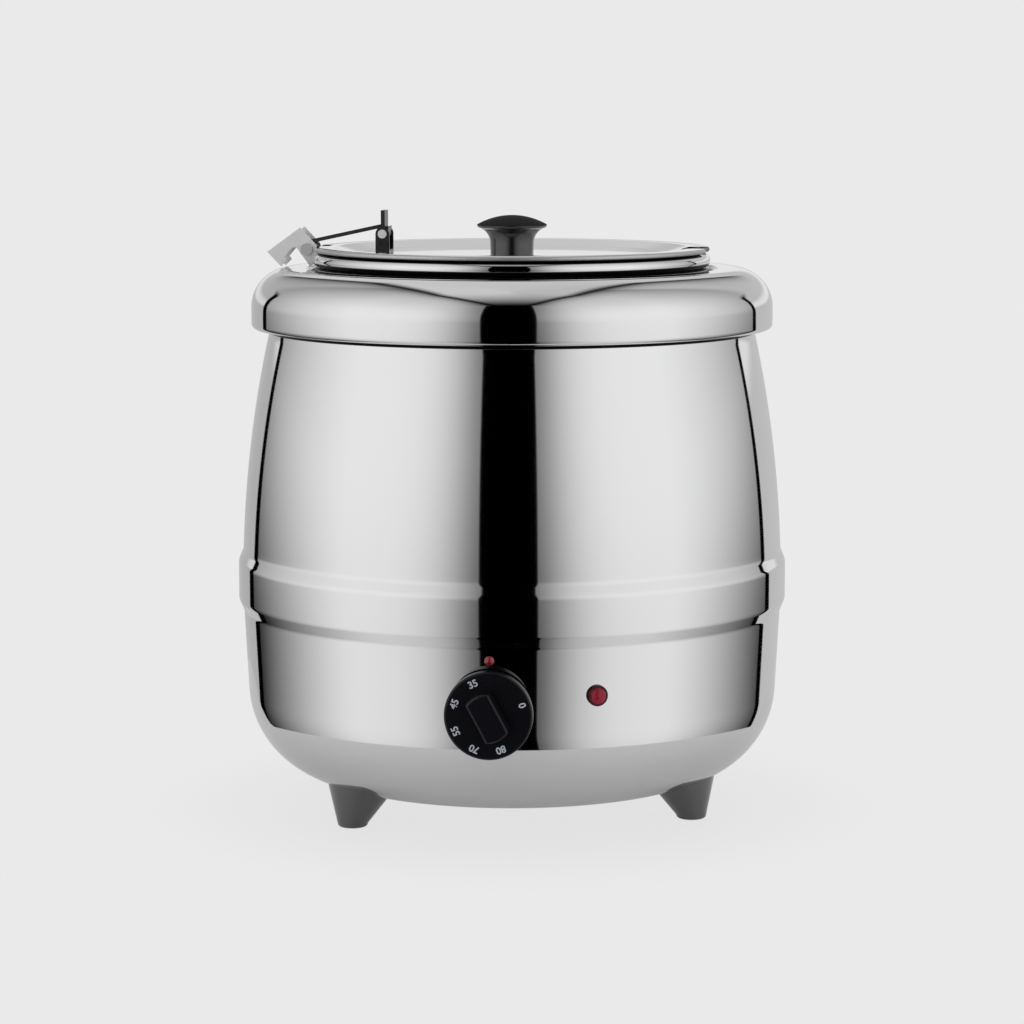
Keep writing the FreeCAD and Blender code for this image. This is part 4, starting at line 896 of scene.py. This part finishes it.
def figure(text, clock):
    """Flat figure on the dial's skirt, its head outwards, at an angle clockwise from the top."""
    curve = bpy.data.curves.new(f"figure_{text}", "FONT")
    curve.body = text
    curve.size = FIGURE_SIZE
    curve.offset = FIGURE_WEIGHT
    curve.align_x = "CENTER"
    curve.align_y = "CENTER"
    holder = bpy.data.objects.new("figure_holder", curve)
    mesh = bpy.data.meshes.new_from_object(holder)
    bpy.data.objects.remove(holder)
    points = np.empty(len(mesh.vertices) * 3)
    mesh.vertices.foreach_get("co", points)
    across, up, _ = points.reshape(-1, 3).T
    turn = math.radians(-clock)
    up = up + FIGURE_RADIUS
    flat = np.column_stack([across * math.cos(turn) - up * math.sin(turn),
                            across * math.sin(turn) + up * math.cos(turn),
                            np.full(len(across), FIGURE_FACE)])
    mesh.vertices.foreach_set("co", (flat * MM).ravel())
    mesh.update()
    piece = bpy.data.objects.new(f"figure_{text}", mesh)
    bpy.context.scene.collection.objects.link(piece)
    faced_front(piece, DIAL_BEARING, DIAL_HEIGHT)
    dress(piece, PRINT)
    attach(piece, "dial")


for text, clock in FIGURES.items():
    figure(text, clock)


# Studio: pale floor, and a tent of soft light with a dark flag behind the camera
# The tent's turns and climbs are degrees, and a pair is where a change starts and where it ends.


TENT_RADIUS = 9000.0
TENT_ROWS = 33
TENT_SEGMENTS = 64
FLAG_MIDDLE = -1.5
FLAG_HALF = 12.0
FLAG_FLARE = 4.5
FLAG_EDGE = (-0.3, 0.3)
BELOW_CLIMB = (-55.0, -15.0)
LOW_CLIMB = (-12.0, 6.0)


class Direction:
    """Where a ray leaves the scene, as signals.

    Up, towards and across are lengths seen from the camera's side. Climb, edge, aside and past_flag are
    degrees: above the level, round from the camera, round from the flag's middle and beyond its edge.
    Side goes from -1 on the left to 1 on the right, and low and below go from 0 to 1 as the climb falls.
    """

    def __init__(self, graph):
        _, x, y, self.up = graph.place()
        level = graph.math("SQRT", x * x + y * y)
        self.towards = x * math.sin(CAMERA_BEARING) - y * math.cos(CAMERA_BEARING)
        self.across = x * math.cos(CAMERA_BEARING) + y * math.sin(CAMERA_BEARING)
        turn = graph.math("ARCTAN2", self.across, self.towards) * DEGREE
        self.climb = graph.math("ARCTAN2", self.up, level) * DEGREE
        self.edge = graph.math("ABSOLUTE", turn)
        self.side = graph.math("MINIMUM", graph.math("MAXIMUM", 2 * self.across / level, -1.0), 1.0)
        self.below = 1 - graph.step(self.climb, *BELOW_CLIMB)
        self.low = 1 - graph.step(self.climb, *LOW_CLIMB)
        self.aside = graph.math("ABSOLUTE", turn - FLAG_MIDDLE)
        self.past_flag = self.aside - (FLAG_HALF + FLAG_FLARE * self.below)


SWELL_FIRST = 0.28
SWELL_GAIN = 0.74
SWELL_OVER = 15.0
SWELL_POWER = 1.45
FALL_FROM = 72.0
FALL_OVER = 55.0
FALL_DEPTH = 0.51
FALL_POWER = 1.3
HIGH_CLIMB = (15.0, 68.0)
HIGH_FADE = 0.36
BELOW_FADE = 0.22
DIP_CLIMB = (-14.0, 13.0)
DIP_OVER = 16.0
DIP_DEPTH = 0.5
LOW_LOSS = 0.05
LOSS_FROM = 65.0
LOSS_OVER = 80.0
LOSS_POWER = 1.6


def soft_boxes(graph, ray):
    """Light that swells away from the flag, falls off sideways and fades up and down."""
    away = graph.math("MAXIMUM", ray.past_flag, 0.0)
    swell = SWELL_FIRST + SWELL_GAIN * (
        1 - graph.math("EXPONENT", -1 * (away / SWELL_OVER) ** SWELL_POWER))
    sideways = graph.math("MAXIMUM", (ray.aside - FALL_FROM) / FALL_OVER, 0.0)
    fall = 1 - FALL_DEPTH * sideways ** FALL_POWER
    fade = (1 - HIGH_FADE * graph.step(ray.climb, *HIGH_CLIMB)) * (1 - BELOW_FADE * ray.below)
    near = graph.math("EXPONENT", away / -DIP_OVER)
    dip = 1 - DIP_DEPTH * near * (1 - graph.step(ray.climb, *DIP_CLIMB))
    far = graph.math("MAXIMUM", (ray.edge - LOSS_FROM) / LOSS_OVER, 0.0)
    lower = 1 - ray.low * (LOW_LOSS + far ** LOSS_POWER)
    return swell * fall * fade * dip * lower


BOX_EDGE = 134.7
EDGE_BY_SIDE = 3.2
EDGE_BY_CLIMB = 0.22
EDGE_SOFT = 0.5
CALM_CLIMB = (15.0, 23.0)
CALM_SPREAD = 24.0
GAP = 1.6
GAP_BY_SIDE = 0.25
GAP_BY_LOW = 0.8
BACK_LIGHT = 0.55
BACK_BY_SIDE = 0.05
BAND_LIGHT = 0.27
BAND_START = (2.5, 5.0)
BAND_END = (7.0, 12.0)


def side_light(graph, ray):
    """Soft boxes, then a thin dark gap that closes higher up, then the pale back with a brighter band."""
    calm = graph.step(ray.climb, *CALM_CLIMB)
    spread = 1 + CALM_SPREAD * calm
    gap = (GAP - GAP_BY_SIDE * ray.side + GAP_BY_LOW * ray.low) * (1 - calm) / spread
    past = (ray.edge - (BOX_EDGE - EDGE_BY_SIDE * ray.side - EDGE_BY_CLIMB * ray.climb)) / spread
    ended = graph.step(past + gap - EDGE_SOFT * calm, -EDGE_SOFT, 0.0)
    boxes = soft_boxes(graph, ray) * (1 - ended)
    band = graph.step(ray.climb, *BAND_START) * (1 - graph.step(ray.climb, *BAND_END))
    pale = BACK_LIGHT + BACK_BY_SIDE * ray.side + BAND_LIGHT * band
    return boxes + pale * graph.step(past - gap, 0.0, EDGE_SOFT)


# The roof's lengths are shares of the height overhead, forwards or sideways.
LEAST_HEIGHT = 0.05
ROOF_CLIMB = (14.0, 24.0)
ROOF_FRONT = (0.85, 1.0)
STRIP_HALF = 0.35
HALF_BY_SIDE = 0.025
TAPER = 0.22
TAPER_FROM = 0.15
WIDENING = 0.2
WIDENING_FROM = -0.9
STRIP_LIGHT = 0.68
LIGHT_BY_SIDE = 0.06
STRIP_FRONT = (-0.05, 0.95)
STRIP_EDGE = (-0.1, -0.01)
SHADE_DEPTH = 0.9
SHADE_REACH = 0.07
SHADE_EXTRA = 0.12
SHADE_BACK = (-1.3, -0.5)
SHADE_EDGE = (-0.02, 0.0)


def roof_light(graph, ray, wall, over, ahead):
    """Bright strip from front to back overhead, with dark edges that clear up to the side light."""
    width = (STRIP_HALF - HALF_BY_SIDE * ray.side
             - TAPER * graph.math("MAXIMUM", ahead - TAPER_FROM, 0.0)
             + WIDENING * graph.math("MAXIMUM", WIDENING_FROM - ahead, 0.0))
    beyond = graph.math("ABSOLUTE", ray.across / over) - width
    reach = SHADE_REACH + SHADE_EXTRA * (1 - graph.step(ahead, *SHADE_BACK))
    outside = graph.math("MAXIMUM", beyond, 0.0)
    shade = 1 - SHADE_DEPTH * graph.math("EXPONENT", outside / (-1 * reach))
    strip = (STRIP_LIGHT - LIGHT_BY_SIDE * ray.side) * (1 - graph.step(ahead, *STRIP_FRONT))
    edges = wall * shade * graph.step(beyond, *SHADE_EDGE)
    return edges + strip * (1 - graph.step(beyond, *STRIP_EDGE))


def tent_material():
    """Light by direction: side light cut by the flag in front, and the roof's light higher up."""
    material, graph = new_material("tent_light")
    ray = Direction(graph)
    wall = side_light(graph, ray)
    front = wall * graph.step(ray.past_flag, *FLAG_EDGE)
    over = graph.math("MAXIMUM", ray.up, LEAST_HEIGHT)
    ahead = ray.towards / over
    high = graph.step(ray.climb, *ROOF_CLIMB) * (1 - graph.step(ahead, *ROOF_FRONT))
    light = front * (1 - high) + roof_light(graph, ray, wall, over, ahead) * high
    colour = graph.node("ShaderNodeCombineColor", {}, {"Red": light, "Green": light, "Blue": light})
    graph.finish(graph.node("ShaderNodeEmission", {}, {"Color": colour.outputs[0]}))
    return material


def tent():
    """Sphere round the whole scene, seen only by reflections and as light."""
    turn = np.linspace(-math.pi / 2, math.pi / 2, TENT_ROWS)
    path = TENT_RADIUS * np.column_stack([np.cos(turn), np.sin(turn)])
    piece = domed("tent", path, TENT_SEGMENTS)
    piece.visible_camera = False
    dress(piece, tent_material())


FLOOR_RADIUS = 244.0
FLOOR_GLOSS = 0.3
FLOOR_SHEEN = 0.45
GLOW = 0.24
GLOW_GAIN = 0.14
GLOW_FROM = 150.0
TONE = 0.9
TONE_GAIN = 0.1
TONE_FROM = 120.0
WIDE_FROM = 98.0
WIDE_OVER = 50.0
WIDE_EXTRA = 1.2


def floor_material():
    """Pale half-gloss board: a faint shadow, the background's tone at its edge, and clear from below."""
    material, graph = new_material("pale_floor")
    _, x, y, _ = graph.place()
    reach = graph.math("SQRT", x * x + y * y)
    seen = Signal(graph, graph.node("ShaderNodeLightPath", {}, {}).outputs["Is Camera Ray"])
    plain = graph.node("ShaderNodeEmission", {}, {"Color": grey(PALE)})
    matt = graph.node("ShaderNodeBsdfDiffuse", {}, {"Color": grey(PALE)})
    gloss = graph.node("ShaderNodeBsdfGlossy", {}, {"Color": grey(PALE), "Roughness": FLOOR_SHEEN})
    glow = GLOW + GLOW_GAIN * graph.step(reach, GLOW_FROM * MM, FLOOR_RADIUS * MM)
    tone = TONE + TONE_GAIN * graph.step(reach, TONE_FROM * MM, FLOOR_RADIUS * MM)
    board = graph.shared(glow * (1 - seen) + tone * seen, graph.shared(FLOOR_GLOSS, matt, gloss), plain)
    below = graph.node("ShaderNodeNewGeometry", {}, {}).outputs["Backfacing"]
    clear = graph.node("ShaderNodeBsdfTransparent", {}, {})
    graph.finish(graph.shared(below, board, clear))
    return material


def floor():
    """Flat board under the feet: round in front, its radius growing smoothly to a wide back."""
    angle = np.linspace(0, 2 * math.pi, SEGMENTS, endpoint=False)
    turn = np.degrees(np.arccos(np.cos(angle + math.pi / 2 - CAMERA_BEARING)))
    wider = np.clip((turn - WIDE_FROM) / WIDE_OVER, 0, 1)
    radius = FLOOR_RADIUS * (1 + WIDE_EXTRA * wider ** 2 * (3 - 2 * wider))
    points = np.column_stack([radius * np.cos(angle), radius * np.sin(angle), np.zeros(SEGMENTS)])
    piece = add_mesh("floor", points, [list(range(SEGMENTS))])
    dress(piece, floor_material())


def background():
    """Plain pale surroundings."""
    world = bpy.data.worlds.new("pale")
    world.use_nodes = True
    graph = Graph(world.node_tree)
    shader = graph.node("ShaderNodeBackground", {}, {"Color": grey(PALE), "Strength": 1.0})
    graph.finish(shader, "ShaderNodeOutputWorld")
    bpy.context.scene.world = world


CAMERA_DISTANCE = 1966.0
CAMERA_HEIGHT = 431.3
AIM_HEIGHT = 178.3
FOCAL_LENGTH = 115.0
SENSOR_WIDTH = 36.0


def camera():
    """Long lens at the photograph's viewing angle."""
    data = bpy.data.cameras.new("camera")
    data.sensor_width = SENSOR_WIDTH
    data.lens = FOCAL_LENGTH
    holder = bpy.data.objects.new("camera", data)
    bpy.context.scene.collection.objects.link(holder)
    aside = CAMERA_DISTANCE * math.sin(CAMERA_BEARING)
    ahead = CAMERA_DISTANCE * math.cos(CAMERA_BEARING)
    tilt = math.atan2(CAMERA_HEIGHT - AIM_HEIGHT, CAMERA_DISTANCE)
    holder.location = np.array([aside, -ahead, CAMERA_HEIGHT]) * MM
    holder.rotation_euler = (math.pi / 2 - tilt, 0.0, CAMERA_BEARING)
    bpy.context.scene.camera = holder


tent()
floor()
background()
camera()
bpy.context.scene.view_settings.view_transform = "Standard"
